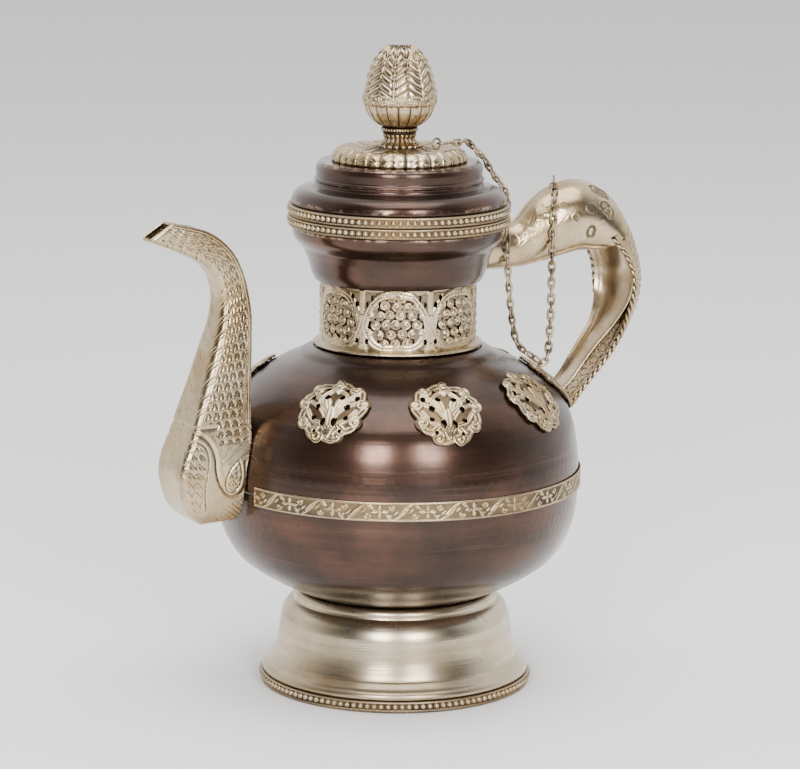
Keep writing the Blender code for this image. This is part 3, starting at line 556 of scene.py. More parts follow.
BELLY_SEAM = 111.4
SHOULDER_RUNS = [
    [(43.7, 179.2), (45.9, 178.3), (49.0, 177.0), (52.1, 174.9)],
    [(52.1, 174.9), (60.4, 171.3), (69.5, 166.4), (76.6, 161.4), (83.3, 155.4), (88.6, 148.4)]
    + [(92.4, 138.6), (94.7, 125.5), (95.5, 116.0), (95.55, 111.6)],
]
BOWL_RUNS = [
    [(95.55, 111.2), (95.4, 106.0), (93.8, 91.5), (89.6, 79.0), (82.2, 68.4), (70.8, 60.2)]
    + [(58.0, 53.2), (46.0, 48.6), (24.0, 44.8), (0.3, 44.1)],
]
shoulder = profile(SHOULDER_RUNS, 0.8 / FINE)
bowl = profile(BOWL_RUNS, 1.0 / FINE)
SPOUT_HOLE = (129.0, 6.5)


def outside_spout_hole(points):
    ahead = np.roll(points, -1, 0)
    middle = (points + ahead) / 2
    away = np.hypot(middle[..., 1], middle[..., 2] - SPOUT_HOLE[0])
    return (away > SPOUT_HOLE[1]) | (middle[..., 0] > 0)


turned_piece(
    "belly_shoulder_skin", shoulder, "jug", ["belly_shoulder"], COPPER,
    hammered(TURNS, shoulder[:, 1], (118.5, 130.0), 0.05), keep=outside_spout_hole,
)
turned_piece(
    "belly_bowl_skin", bowl, "jug", ["belly_bowl"], COPPER,
    hammered(TURNS, bowl[:, 1], (88.0, 104.0), 0.07),
)
COLLAR_RUNS = [
    [(55.35, 241.8), (55.1, 239.0), (54.4, 236.4), (52.6, 233.8), (50.2, 231.2), (49.3, 229.8)],
    [(49.3, 229.8), (47.6, 226.0), (46.2, 221.5), (45.1, 217.5), (43.6, 214.2)],
    [(43.6, 214.2), (41.0, 214.1), (38.9, 214.1)],
]
turned_piece(
    "mouth_collar_skin", profile(COLLAR_RUNS, 0.5 / FINE), "jug", ["mouth_collar"], COPPER_LID,
    wall=1.1,
)
LID_RUNS = [
    [(2.3, 275.15), (20.0, 275.2), (39.6, 275.2), (41.6, 274.7), (42.8, 273.4), (43.15, 271.6)],
    [(43.15, 271.6), (43.1, 267.4)],
    [(43.1, 267.4), (43.9, 266.7), (44.1, 265.9), (43.5, 265.2)],
    [(43.5, 265.2), (43.9, 263.2), (46.4, 262.2)],
    [(46.4, 262.2), (50.4, 261.5), (53.6, 259.6), (55.2, 257.2), (55.65, 255.0), (55.65, 253.8)],
    [(55.65, 253.8), (54.8, 253.7)],
    [(54.8, 253.7), (54.75, 247.95)],
]
turned_piece(
    "lid_shell_skin", profile(LID_RUNS, 0.5 / FINE), "lid", ["lid_shell"], COPPER_LID,
    wall=1.1,
)

# ---- foot ---------------------------------------------------------------------------
FOOT_RUNS = [
    [(50.7, 49.5), (52.2, 48.8), (53.3, 47.2), (53.6, 45.4), (53.9, 44.2)],
    [(53.9, 44.2), (56.2, 42.6), (58.6, 39.6), (60.1, 35.6), (60.9, 30.0), (61.9, 23.0), (63.4, 16.8), (64.3, 14.4)],
    [(64.3, 14.4), (65.3, 13.6), (67.2, 11.4), (69.2, 9.7), (70.1, 8.4)],
    [(70.1, 8.4), (70.3, 7.3), (70.0, 6.2)],
]
turned_piece("foot_shell_skin", profile(FOOT_RUNS, 0.45 / FINE), "jug", ["foot_shell"], SPUN)


# ---- beaded bands -------------------------------------------------------------------
def beaded(name, node, body, radius, bottom, top, beads, bead_at, bead_size, dash_at, inner, lip_at=None):
    """A turned strip with a row of beads, a plain edge and a line of fine milled dashes."""
    count = beads * 16
    turns = circle(count)
    edge = 0.45
    line = profile(
        [
            [(radius - 1.1, top), (radius - 0.75, top - edge * 0.3), (radius - 0.7, top - edge)],
            [(radius - 0.7, top - edge), (radius - 0.7, bottom + edge)],
            [(radius - 0.7, bottom + edge), (radius - 0.75, bottom + edge * 0.3), (radius - 1.1, bottom)],
            [(radius - 1.1, bottom), (inner, bottom)],
            [(inner, bottom), (inner, top)],
            [(inner, top), (radius - 1.15, top)],
        ],
        0.16 / FINE,
    )[:-1]
    points = turned_points(line, turns)
    facing = line[:, 0] > radius - 0.72
    around = (turns * beads / math.tau)[:, None]
    across = line[:, 1][None]
    pitch = math.tau * radius / beads
    d = np.hypot((around % 1 - 0.5) * pitch, across - bead_at)
    height = 0.95 * bead_size * dome(d, bead_size)
    dash_around = (around * 3.0) % 1 - 0.5
    dashes = ridge(across - dash_at, 0.42) * dome(dash_around, 0.36)
    height = np.maximum(height, 0.34 * dashes)
    if lip_at is not None:
        height = np.maximum(height, 0.42 * ridge(across - lip_at, 0.42) + 0 * around)
    height = np.minimum(height * facing, 1.0)
    relief = 0.12 + 1.3 * height / 1.0
    relief = np.where(facing[None], relief, 0.35)
    points[..., 0] += np.cos(turns)[:, None] * height
    points[..., 1] += np.sin(turns)[:, None] * height
    obj = grid_mesh(name, points, relief, loop_u=True, loop_v=True)
    finish_piece(obj, body, [node], METAL)


for name, body, bottom in (("collar_bead_band", "jug", 242.2), ("lid_bead_band", "lid", 247.9)):
    beaded(name + "_skin", name, body, 57.8, bottom, bottom + 5.4, 100, bottom + 2.75, 1.25, bottom + 0.75, 55.0, bottom + 4.8)
beaded("foot_bead_ring_skin", "foot_bead_ring", "jug", 71.6, 0.0, 5.8, 124, 3.3, 1.3, 0.9, 66.9, 5.2)


# ---- belt ---------------------------------------------------------------------------
BELT_RADIUS = 96.2
BELT_LOW, BELT_HIGH = 106.5, 116.3
BELT_STOP = math.radians(13.7)
BELT_PANELS = 23


def leaf(x, y, cx, cy, length, width, angle):
    """Height of a pointed leaf that lies along an angle, with a vein."""
    u = (x - cx) * math.cos(angle) + (y - cy) * math.sin(angle)
    v = -(x - cx) * math.sin(angle) + (y - cy) * math.cos(angle)
    t = np.clip(u / length, -1, 1)
    half = width * (1 - t * t)
    body = np.sqrt(np.clip(1 - (v / np.maximum(half, 1e-6)) ** 2, 0, 1)) * (np.abs(u) < length)
    return body * (1 - 0.45 * ridge(v, 0.16 * width))


def belt_height(x, y, panel):
    """Vine lozenges between four-petal flowers: x along from the flower, y up from the middle."""
    height = np.zeros(x.shape)
    for base in (0.0, panel):
        for turn in range(4):
            angle = turn * math.pi / 2
            reach = 2.0 if turn % 2 else 2.6
            height = np.maximum(
                height,
                leaf(x, y, base + math.cos(angle) * reach, math.sin(angle) * 1.9, reach * 0.86, 0.95, angle),
            )
        height = np.maximum(height, 0.9 * dome(np.hypot(x - base, y), 0.62))
    middle = panel / 2
    for side in (1, -1):
        vine = [
            (middle - side * 8.6, side * 0.6),
            (middle - side * 6.6, side * 3.0),
            (middle - side * 3.6, side * 2.5),
            (middle, 0.0),
            (middle + side * 2.4, -side * 2.6),
        ]
        shift = side * 0.95
        d = to_line(x, y - shift, vine)
        height = np.maximum(height, 0.85 * ridge(d, 0.42))
        curl = spiral(x, y, middle + side * 5.6, side * 2.1, 1.55, 1.2, math.pi * (side < 0), side)
        height = np.maximum(height, 0.8 * ridge(curl, 0.36))
        height = np.maximum(height, 0.8 * leaf(x, y, middle + side * 7.2, -side * 2.4, 1.7, 0.8, side * 0.5))
        height = np.maximum(height, 0.8 * leaf(x, y, middle + side * 3.9, -side * 0.6, 1.9, 0.62, -0.7))
    for k in range(-3, 4):
        d = np.hypot(x - middle - 1.15 * k, y + 0.95 * k)
        height = np.maximum(height, 0.85 * dome(d, 0.56))
    return height


def add_belt():
    sweep = math.tau - 2 * BELT_STOP
    columns = many(2300)
    turns = math.pi + BELT_STOP + np.linspace(0, sweep, columns)
    across = np.linspace(BELT_LOW, BELT_HIGH, many(52))
    middle = (BELT_LOW + BELT_HIGH) / 2
    panel = BELT_RADIUS * sweep / BELT_PANELS
    along = np.linspace(0, BELT_PANELS * panel, columns)
    x, y = np.meshgrid(along % panel, across - middle, indexing="ij")
    height = belt_height(x, -y, panel) * (np.abs(y) < 4.1)
    rim = ridge(np.abs(y) - 4.25, 0.30) * 0.9
    teeth = ridge(np.abs(y) - 4.75, 0.22) * dome((along[:, None] / 0.9) % 1 - 0.5, 0.4) * 0.6
    height = np.maximum(np.maximum(height, rim), teeth)
    height *= 1 - 0.25 * random.random(height.shape) * (height > 0.2)
    points = turned_points(np.stack([np.full(len(across), BELT_RADIUS), across], 1), turns)
    points = raised(points, 0.55 * height)
    obj = grid_mesh("belly_belt_skin", points, 0.20 + 0.85 * height)
    finish_piece(obj, "jug", ["belly_belt"], METAL, 0.35)


add_belt()


# ---- pierced neck band --------------------------------------------------------------
BAND_RADIUS = 39.7
BAND_LOW, BAND_HIGH = 181.9, 213.5
BAND_PANELS = 7


def neck_height(x, y, panel, rise):
    """Scrolls and bosses around curved leaf dividers; negative values are pierced through."""
    height = np.full(x.shape, -1.0)
    for base in (0.0, panel):
        for side in (1, -1):
            stem = [
                (base - side * 0.6, 1.5),
                (base + side * 0.6, rise * 0.30),
                (base + side * 3.0, rise * 0.62),
                (base + side * 8.0, rise * 0.86),
                (base + side * 13.5, rise * 0.93),
            ]
            lower = [
                (base - side * 0.4, rise * 0.56),
                (base + side * 1.6, rise * 0.34),
                (base + side * 5.0, rise * 0.15),
                (base + side * 10.0, rise * 0.055),
                (base + side * 16.0, rise * 0.05),
            ]
            for line, width in ((stem, 1.7), (lower, 1.7)):
                d = to_line(x, y, line)
                height = np.maximum(height, np.where(d < width * 1.35, 0.35 + 0.65 * dome(d, width * 1.4), -1))
                height = np.where(ridge(d - width * 0.15, 0.24) > 0.4, height - 0.22, height)
        corner = (np.abs(x - base) < 8.5) & ((y > rise * 0.62) | (y < rise * 0.34))
        height = np.maximum(height, np.where(corner, 0.32, -1))
        for away, up in ((2.9, 0.76), (2.9, 0.16), (5.6, 0.87)):
            hole = np.hypot(np.abs(x - base) - away, (y - rise * up) * 0.62)
            height = np.where(hole < 0.85, -1.0, height)
        d = np.abs(x - base) - (0.9 + 1.3 * np.abs(y / rise - 0.55))
        height = np.maximum(height, np.where(d < 0, 0.55 + 0.35 * dome(x - base, 2.4), -1))
        height = np.maximum(height, np.where(np.hypot(x - base, y - 3.4) < 1.9, 0.5 + 0.5 * dome(np.hypot(x - base, y - 3.4), 1.9), -1))
    number = 0
    for row in range(6):
        up = 4.4 + row * 4.75
        for column in range(7):
            across = panel / 2 + (column - 3 + 0.5 * (row % 2)) * 5.5
            sway = 0.5 * math.sin(5.1 * number + 1.0)
            number += 1
            if ((across - panel / 2) / 15.6) ** 2 + ((up - rise * 0.49) / 14.4) ** 2 > 1:
                continue
            cx, cy = across + sway, up + 0.4 * math.cos(7.3 * number)
            d = np.hypot(x - cx, y - cy)
            curl = spiral(x, y, cx, cy, 2.35, 1.0, number * 1.9, 1 if number % 2 else -1)
            plate = np.where(d < 2.8, 0.30 + 0.10 * dome(d, 2.9), -1)
            scroll = np.where(curl < 0.62, 0.42 + 0.42 * dome(curl, 0.66), -1)
            knob = np.where(d < 1.2, 0.45 + 0.75 * dome(d, 1.25), -1)
            height = np.maximum.reduce([height, plate, scroll, knob])
    edges = np.minimum(y, rise - y)
    height = np.maximum(height, np.where(y < 1.3, 0.45, -1))
    height = np.maximum(height, np.where(rise - y < 2.4, 0.42 + 0.25 * ridge(rise - y - 2.0, 0.35), -1))
    height = np.where((edges < 0.4), 0.5, height)
    return height


def add_neck_band():
    panel = math.tau * BAND_RADIUS / BAND_PANELS
    rise = BAND_HIGH - BAND_LOW
    cell_columns, rows = many(150), many(128)
    x, y = np.meshgrid(
        np.arange(cell_columns) / cell_columns * panel, np.linspace(0, rise, rows), indexing="ij"
    )
    cell = neck_height(x, y, panel, rise)
    height = np.tile(cell, (BAND_PANELS, 1))
    first_divider = math.radians(-118.0 - 27.0)
    turns = first_divider + np.arange(len(height)) * (math.tau / len(height))
    line = np.stack([np.full(rows, BAND_RADIUS), np.linspace(BAND_LOW, BAND_HIGH, rows)], 1)
    points = turned_points(line, turns)
    solid = height > -0.5
    keep = solid & np.roll(solid, -1, 0)
    keep = keep[:, :-1] & keep[:, 1:]
    points = raised(points, 1.15 * np.clip(height, 0, 1.1), loop_u=True)
    relief = np.clip(height, 0, 1)
    obj = grid_mesh("neck_band_skin", points, relief, loop_u=True, keep=keep)
    finish_piece(obj, "jug", ["neck_band"], METAL, 0.8)
    flange = profile(
        [
            [(39.9, 183.2), (41.0, 182.6), (42.4, 181.9), (43.6, 181.4), (43.95, 180.8), (43.8, 180.1)],
            [(43.8, 180.1), (40.0, 180.0), (38.9, 180.1)],
            [(38.9, 180.1), (38.9, 183.1)],
        ],
        0.3 / FINE,
    )
    points = turned_points(flange, circle(many(300)))
    edge = grid_mesh("neck_band_flange", points, np.full(points.shape[:2], 0.6), loop_u=True, loop_v=True)
    finish_piece(edge, "jug", [], METAL_SMOOTH)


add_neck_band()


# ---- medallions ---------------------------------------------------------------------
MEDALLION_RADIUS = 19.6
MEDALLION_ANGLES = (38.5, 80.0, 121.5, 163.0)
MEDALLION_HEIGHT = 158.0


def medallion_height(x, y):
    """A lobed rosette of scrolls about a flaming jewel on a lotus; negative is pierced."""
    height = np.full(x.shape, -1.0)
    reach, angle = np.hypot(x, y), np.arctan2(y, x)

    def put(value, inside):
        np.maximum(height, np.where(inside, value, -1), out=height)

    put(0.14, reach < 16.5)
    rim = 15.6 + 0.8 * np.cos(9 * angle)
    d = np.abs(reach - rim)
    put(0.12 + 0.5 * dome(np.abs(d - 1.2), 0.8), d < 2.4)
    for k in range(9):
        turn = math.tau * (k + 0.25) / 9
        cx, cy = 15.6 * math.cos(turn), 15.6 * math.sin(turn)
        hand = 1 if math.cos(turn) > 0 else -1
        away = np.hypot(x - cx, y - cy)
        put(0.08, away < 3.75)
        curl = spiral(x, y, cx, cy, 3.15, 1.35, turn + 2.0, hand)
        put(0.55 + 0.45 * dome(curl, 0.85), curl < 0.8)
        put(0.6 + 0.5 * dome(away, 1.2), away < 1.15)
    for side in (1, -1):
        for line, width in (
            ([(0, -14.5), (side * 3.4, -9.0), (side * 9.0, -6.5), (side * 12.6, -1.5)], 1.35),
            ([(0, -13.0), (side * 2.4, -5.0), (side * 6.4, 0.6), (side * 11.8, 3.6)], 1.35),
            ([(0, 13.0), (side * 4.8, 9.4), (side * 7.2, 4.6), (side * 4.4, 0.4), (side * 1.0, -2.4)], 1.45),
        ):
            near = to_line(x, y, line)
            put(0.30 + 0.65 * dome(near - 0.5 * width, width * 0.55) - 0.12, near < width)
        petal = leaf(x, y, side * 3.4, 4.2, 5.4, 2.5, math.pi / 2 - side * 0.35)
        put(0.35 + 0.6 * petal, petal > 0.05)
        wing = leaf(x, y, side * 9.2, 7.4, 4.6, 2.2, math.pi / 2 - side * 0.9)
        put(0.3 + 0.6 * wing, wing > 0.05)
        tail = leaf(x, y, side * 6.6, -10.6, 4.4, 1.9, -side * 0.7)
        put(0.3 + 0.6 * tail, tail > 0.05)
    heart = leaf(x, y, 0, -4.6, 6.6, 2.9, math.pi / 2)
    put(0.4 + 0.7 * heart, heart > 0.05)
    crown = np.hypot(x, y - 12.2)
    put(0.45 + 0.6 * dome(crown, 2.9), crown < 2.7)
    top = np.hypot(x, (y - 17.6) * 0.9)
    put(0.35 + 0.6 * dome(top, 2.4), top < 2.2)
    holes = [
        (3.9, 6.9, 1.45, 1.0),
        (7.7, 1.0, 1.35, 0.8),
        (2.9, -7.6, 1.25, 0.55),
        (8.4, -5.4, 1.15, 0.9),
        (5.2, 12.0, 1.0, 1.0),
        (11.6, 6.6, 1.05, 0.8),
        (6.8, -12.2, 0.85, 1.0),
    ]
    for across, up, size, stretch in holes:
        hole = np.hypot(np.abs(x) - across, (y - up) * stretch)
        np.copyto(height, -1.0, where=hole < size)
    return height


SHOULDER_LINE = profile(SHOULDER_RUNS, 0.4)
SHOULDER_ARC = arc_of(SHOULDER_LINE)
CENTRE_ARC = float(np.interp(-MEDALLION_HEIGHT, -SHOULDER_LINE[:, 1], SHOULDER_ARC))


def on_shoulder(x, y, turn, lift):
    """Points over the shoulder: x to the right of a turn, y upwards, lift outwards."""
    arc = CENTRE_ARC - y
    radius = np.interp(arc, SHOULDER_ARC, SHOULDER_LINE[:, 0])
    height = np.interp(arc, SHOULDER_ARC, SHOULDER_LINE[:, 1])
    ahead = (np.interp(arc + 1, SHOULDER_ARC, SHOULDER_LINE[:, 0]) - np.interp(arc - 1, SHOULDER_ARC, SHOULDER_LINE[:, 0])) / 2
    fall = (np.interp(arc - 1, SHOULDER_ARC, SHOULDER_LINE[:, 1]) - np.interp(arc + 1, SHOULDER_ARC, SHOULDER_LINE[:, 1])) / 2
    far = radius + fall * lift
    angle = turn + x / radius
    return np.stack([far * np.cos(angle), far * np.sin(angle), height + ahead * lift], -1)


def add_medallions():
    count = many(150)
    side = np.linspace(-MEDALLION_RADIUS, MEDALLION_RADIUS, count)
    x, y = np.meshgrid(side, side, indexing="ij")
    turns = [math.pi + math.radians(a) for a in MEDALLION_ANGLES]
    turns += [math.pi - math.radians(a) for a in MEDALLION_ANGLES[::-1]]
    for number, turn in enumerate(turns, 1):
        spin = 0.10 * math.sin(2.3 * number)
        mirror = 1 if number % 2 else -1
        u = mirror * (x * math.cos(spin) + y * math.sin(spin))
        v = -x * math.sin(spin) + y * math.cos(spin)
        height = medallion_height(u, v)
        solid = height > -0.5
        keep = solid & (np.hypot(x, y) < MEDALLION_RADIUS)
        keep = keep[:-1] & keep[1:]
        keep = keep[:, :-1] & keep[:, 1:]
        crown = 0.35 * (1 - (np.hypot(x, y) / MEDALLION_RADIUS) ** 2)
        points = on_shoulder(x, y, turn, 1.35 + crown + 1.05 * np.clip(height, 0, 1.1))
        obj = grid_mesh(f"medallion_{number}_skin", points, np.clip(height, 0, 1), keep=keep)
        finish_piece(obj, "jug", [f"medallion_{number}"], METAL, 1.0)


add_medallions()

# ---- finial and rosette -------------------------------------------------------------
ROSETTE_LINE = profile(
    [
        [(12.3, 282.7), (14.0, 281.9), (18.0, 281.2), (22.0, 281.0), (26.0, 281.4), (29.4, 281.6), (32.2, 280.4)]
        + [(33.8, 278.4), (34.1, 276.8)],
        [(34.1, 276.8), (34.0, 275.8), (32.4, 275.7)],
        [(32.4, 275.7), (31.0, 278.4), (24.0, 279.2), (12.0, 279.9), (4.0, 280.2)],
        [(4.0, 280.2), (4.0, 282.0)],
        [(4.0, 282.0), (12.25, 282.7)],
    ],
    0.32 / FINE,
)[:-1]


def add_rosette():
    petals = 16
    turns = circle(many(832))
    line = ROSETTE_LINE
    points = turned_points(line, turns)
    arc = arc_of(line)
    top = (line[:, 1] > 280.0) & (line[:, 0] > 12.6) | (line[:, 0] > 32.3) & (line[:, 1] > 275.75)
    share = np.clip((line[:, 0] - 12.5) / 21.5, 0, 1)[None]
    around = (turns * petals / math.tau)[:, None] % 1 - 0.5
    half = 0.47 * np.sqrt(np.clip(share * 1.25, 0, 1))
    petal = np.sqrt(np.clip(1 - (around / half) ** 2, 0, 1))
    veins = 0.5 + 0.5 * np.cos((arc[None] / 2.1 - np.abs(around) * 3.4) * math.tau)
    vein_line = ridge(around, 0.035)
    height = (0.35 + 0.95 * petal) * (0.55 + 0.45 * share) - 0.28 * veins * petal - 0.35 * vein_line
    rim = step_up(line[:, 0], 29.0, 32.0)[None]
    small = np.sqrt(np.clip(1 - (((turns * petals * 2 / math.tau)[:, None] % 1 - 0.5) / 0.46) ** 2, 0, 1))
    height = height * (1 - 0.45 * rim) + 0.45 * rim * small
    height = np.where(top[None], height, 0.0)
    relief = np.where(top[None], height, 0.4)
    points = raised(points, 1.0 * height, loop_u=True, loop_v=True, side=-1.0)
    obj = grid_mesh("lid_rosette_skin", points, relief, loop_u=True, loop_v=True)
    finish_piece(obj, "lid", ["lid_rosette"], METAL)


add_rosette()


def finial_piece(name, node, runs, height_of, step=0.3, columns=480):
    line = profile(runs, step / FINE)
    turns = circle(many(columns))
    points = turned_points(line, turns)
    height = height_of(turns[:, None], line[:, 0][None], line[:, 1][None])
    height = height + 0 * turns[:, None]
    points = raised(points, height, loop_u=True, loop_v=False, side=-1.0)
    top = max(float(height.max()), 0.1)
    relief = step_up(height / top, 0.12, 0.80)
    obj = grid_mesh(name, points, relief, loop_u=True, loop_v=True)
    return finish_piece(obj, "lid", [node], METAL)


def stem_height(turns, radius, height):
    flute = 0.5 + 0.5 * np.cos(turns * 20)
    fade = step_up(radius, 7.0, 7.8) * (1 - step_up(height, 288.8, 289.6))
    return 0.75 * flute**0.6 * fade


finial_piece(
    "finial_stem_skin", "finial_stem",
    [
        [(2.4, 290.25), (8.2, 290.3), (8.7, 289.9)],
        [(8.7, 289.9), (7.7, 288.2), (7.5, 286.6), (8.4, 285.0), (10.4, 283.8), (11.9, 283.15)],
        [(11.9, 283.15), (2.4, 283.1)],
    ],
    stem_height,
)
finial_piece(
    "finial_knop_skin", "finial_knop",
    [
        [(2.4, 292.7), (8.8, 292.75)],
        [(8.8, 292.75), (9.45, 292.3), (9.55, 291.7), (9.45, 291.0), (8.8, 290.65)],
        [(8.8, 290.65), (2.4, 290.6)],
    ],
    lambda turns, radius, height: 0.12 * (0.5 + 0.5 * np.cos(turns * 40)) * step_up(radius, 9.2, 9.5),
)


def calyx_height(turns, radius, height):
    """Gadroons that open upwards and close at the knop."""
    around = (turns * 18 / math.tau) % 1 - 0.5
    lobe = np.sqrt(np.clip(1 - (around / 0.47) ** 2, 0, 1))
    fade = step_up(radius, 9.6, 11.5) * step_up(305.6 - height, 0.0, 1.6)
    return 0.85 * lobe * fade


finial_piece(
    "finial_calyx_skin", "finial_calyx",
    [
        [(2.4, 293.05), (9.0, 293.1)],
        [(9.0, 293.1), (11.6, 294.4), (14.6, 296.9), (16.9, 300.2), (18.0, 303.2), (18.3, 304.9)],
        [(18.3, 304.9), (17.0, 304.9)],
        [(17.0, 304.9), (15.6, 300.4), (13.0, 296.8), (9.0, 294.6), (2.4, 294.4)],
    ],
    calyx_height,
)
LEAVES = 7


def bud_height(turns, radius, height):
    """Tall overlapping leaves with chevron veins above a band of small curls."""
    share = np.clip((height - 305.3) / 29.0, 0, 1)
    result = np.zeros(np.broadcast(turns, height).shape)
    for layer, (shift, base, tall) in enumerate(((0.5, 0.05, 1.05), (0.0, 0.02, 0.98))):
        around = (turns * LEAVES / math.tau + shift) % 1 - 0.5
        local = np.clip((share - base) / tall, 0, 1)
        half = 0.50 * np.sqrt(np.clip(1 - local**2.6, 0, 1)) + 0.02
        inside = np.abs(around) < half
        body = np.sqrt(np.clip(1 - (around / half) ** 2, 0, 1)) ** 0.7
        lines = 0.5 + 0.5 * np.cos((share * 7.4 - np.abs(around) * 2.3) * math.tau)
        midrib = ridge(around, 0.030)
        leaf_height = 0.30 + 0.70 * body - 0.62 * lines**3.0 * body + 0.22 * midrib - 0.25 * ridge(np.abs(around) - 0.06, 0.025)
        result = np.where(inside, leaf_height - 0.18 * (1 - layer), result)
    curls = 0.0
    for k, up in ((14, 0.035), (14, 0.105)):
        around = ((turns * k / math.tau + (up > 0.05) * 0.5) % 1 - 0.5) * (math.tau * 18.5 / k)
        d = np.hypot(around, (share - up) * 29.0)
        curls = np.maximum(curls, 0.55 + 0.5 * dome(d, 2.1) - 0.5 * ridge(d - 1.1, 0.28))
    low = 1 - step_up(share, 0.12, 0.17)
    result = result * (1 - low) + np.minimum(curls, 1.0) * low
    fade = step_up(radius, 5.2, 6.0)
    return 1.25 * result * fade


finial_piece(
    "finial_bud_skin", "finial_bud",
    [
        [(2.4, 331.4), (4.6, 331.6), (5.2, 333.4), (5.7, 333.9)],
        [(5.7, 333.9), (8.6, 331.6), (12.0, 327.6), (14.9, 321.4), (17.1, 314.0), (18.2, 307.6), (18.2, 305.4)],
        [(18.2, 305.4), (17.0, 305.4)],
        [(17.0, 305.4), (16.0, 312.0), (13.4, 321.0), (9.6, 327.8), (5.6, 330.4), (2.4, 330.6)],
    ],
    bud_height, 0.26, 560,
)

# ---- spout --------------------------------------------------------------------------
SPOUT_STATIONS = np.array(
    [  # front radius, front height, back radius, back height, half width
        (142.9, 243.3, 131.2, 250.7, 4.6),
        (132.0, 239.3, 123.0, 249.0, 5.2),
        (121.0, 234.4, 113.0, 246.3, 5.8),
        (113.0, 229.9, 105.0, 241.6, 6.3),
        (107.8, 224.4, 98.4, 235.0, 6.7),
        (105.0, 217.6, 93.6, 226.4, 7.0),
        (103.8, 209.5, 90.4, 215.8, 7.3),
        (105.2, 198.0, 89.0, 202.5, 9.2),
        (109.2, 186.0, 89.6, 189.0, 10.7),
        (114.4, 170.0, 90.6, 172.0, 12.2),
        (119.2, 155.0, 91.4, 156.0, 13.6),
        (123.6, 141.5, 91.6, 141.5, 14.8),
        (127.6, 132.0, 92.4, 132.0, 15.4),
        (129.6, 122.0, 94.0, 121.0, 15.5),
        (128.2, 112.0, 95.6, 112.0, 15.0),
        (124.6, 103.6, 96.2, 104.4, 13.6),
        (117.6, 97.4, 98.0, 98.4, 10.6),
    ]
)


def scales(along, across, pitch, width):
    """Fish scales in staggered rows that lap like tiles: each rises to its arch and drops."""

    def arch(row):
        side = across / width + 0.5 * (row % 2)
        side = side - np.floor(side) - 0.5
        return row + 0.28 + 0.68 * np.sqrt(np.clip(1 - 4 * side * side, 0, 1))

    at = along / pitch
    row = np.floor(at)
    below, own, above = arch(row - 1), arch(row), arch(row + 1)
    low = np.where(at < own, below, own)
    high = np.where(at < own, own, above)
    share = np.clip((at - low) / (high - low), 0, 1)
    return 0.05 + 0.95 * share**0.55


def elliptic_arc(x, z, radius_x, radius_z, start, end):
    """Points of an elliptic arc in the plane Y = 0, between two angles in degrees."""
    turn = np.radians(np.linspace(start, end, 12))
    return np.stack([x + radius_x * np.cos(turn), z + radius_z * np.sin(turn)], 1)


def wave(x, swing, top, bottom, half_length):
    """Points of a line that falls from top to bottom and swings about x like a cosine."""
    z = np.linspace(top, bottom, 12)
    return np.stack([x + swing * np.cos((top - z) / half_length * math.pi), z], 1)


def drop(x, z, half_width, half_height, lean):
    """Points of a leaning drop, pointed at its top."""
    turn = np.linspace(0, math.tau, 24)
    side = half_width * np.sin(turn) * np.sin(turn / 2) ** 0.8
    rise = half_height * np.cos(turn)
    return np.stack([
        x - side * math.cos(lean) + rise * math.sin(lean),
        z + rise * math.cos(lean) + side * math.sin(lean),
    ], 1)


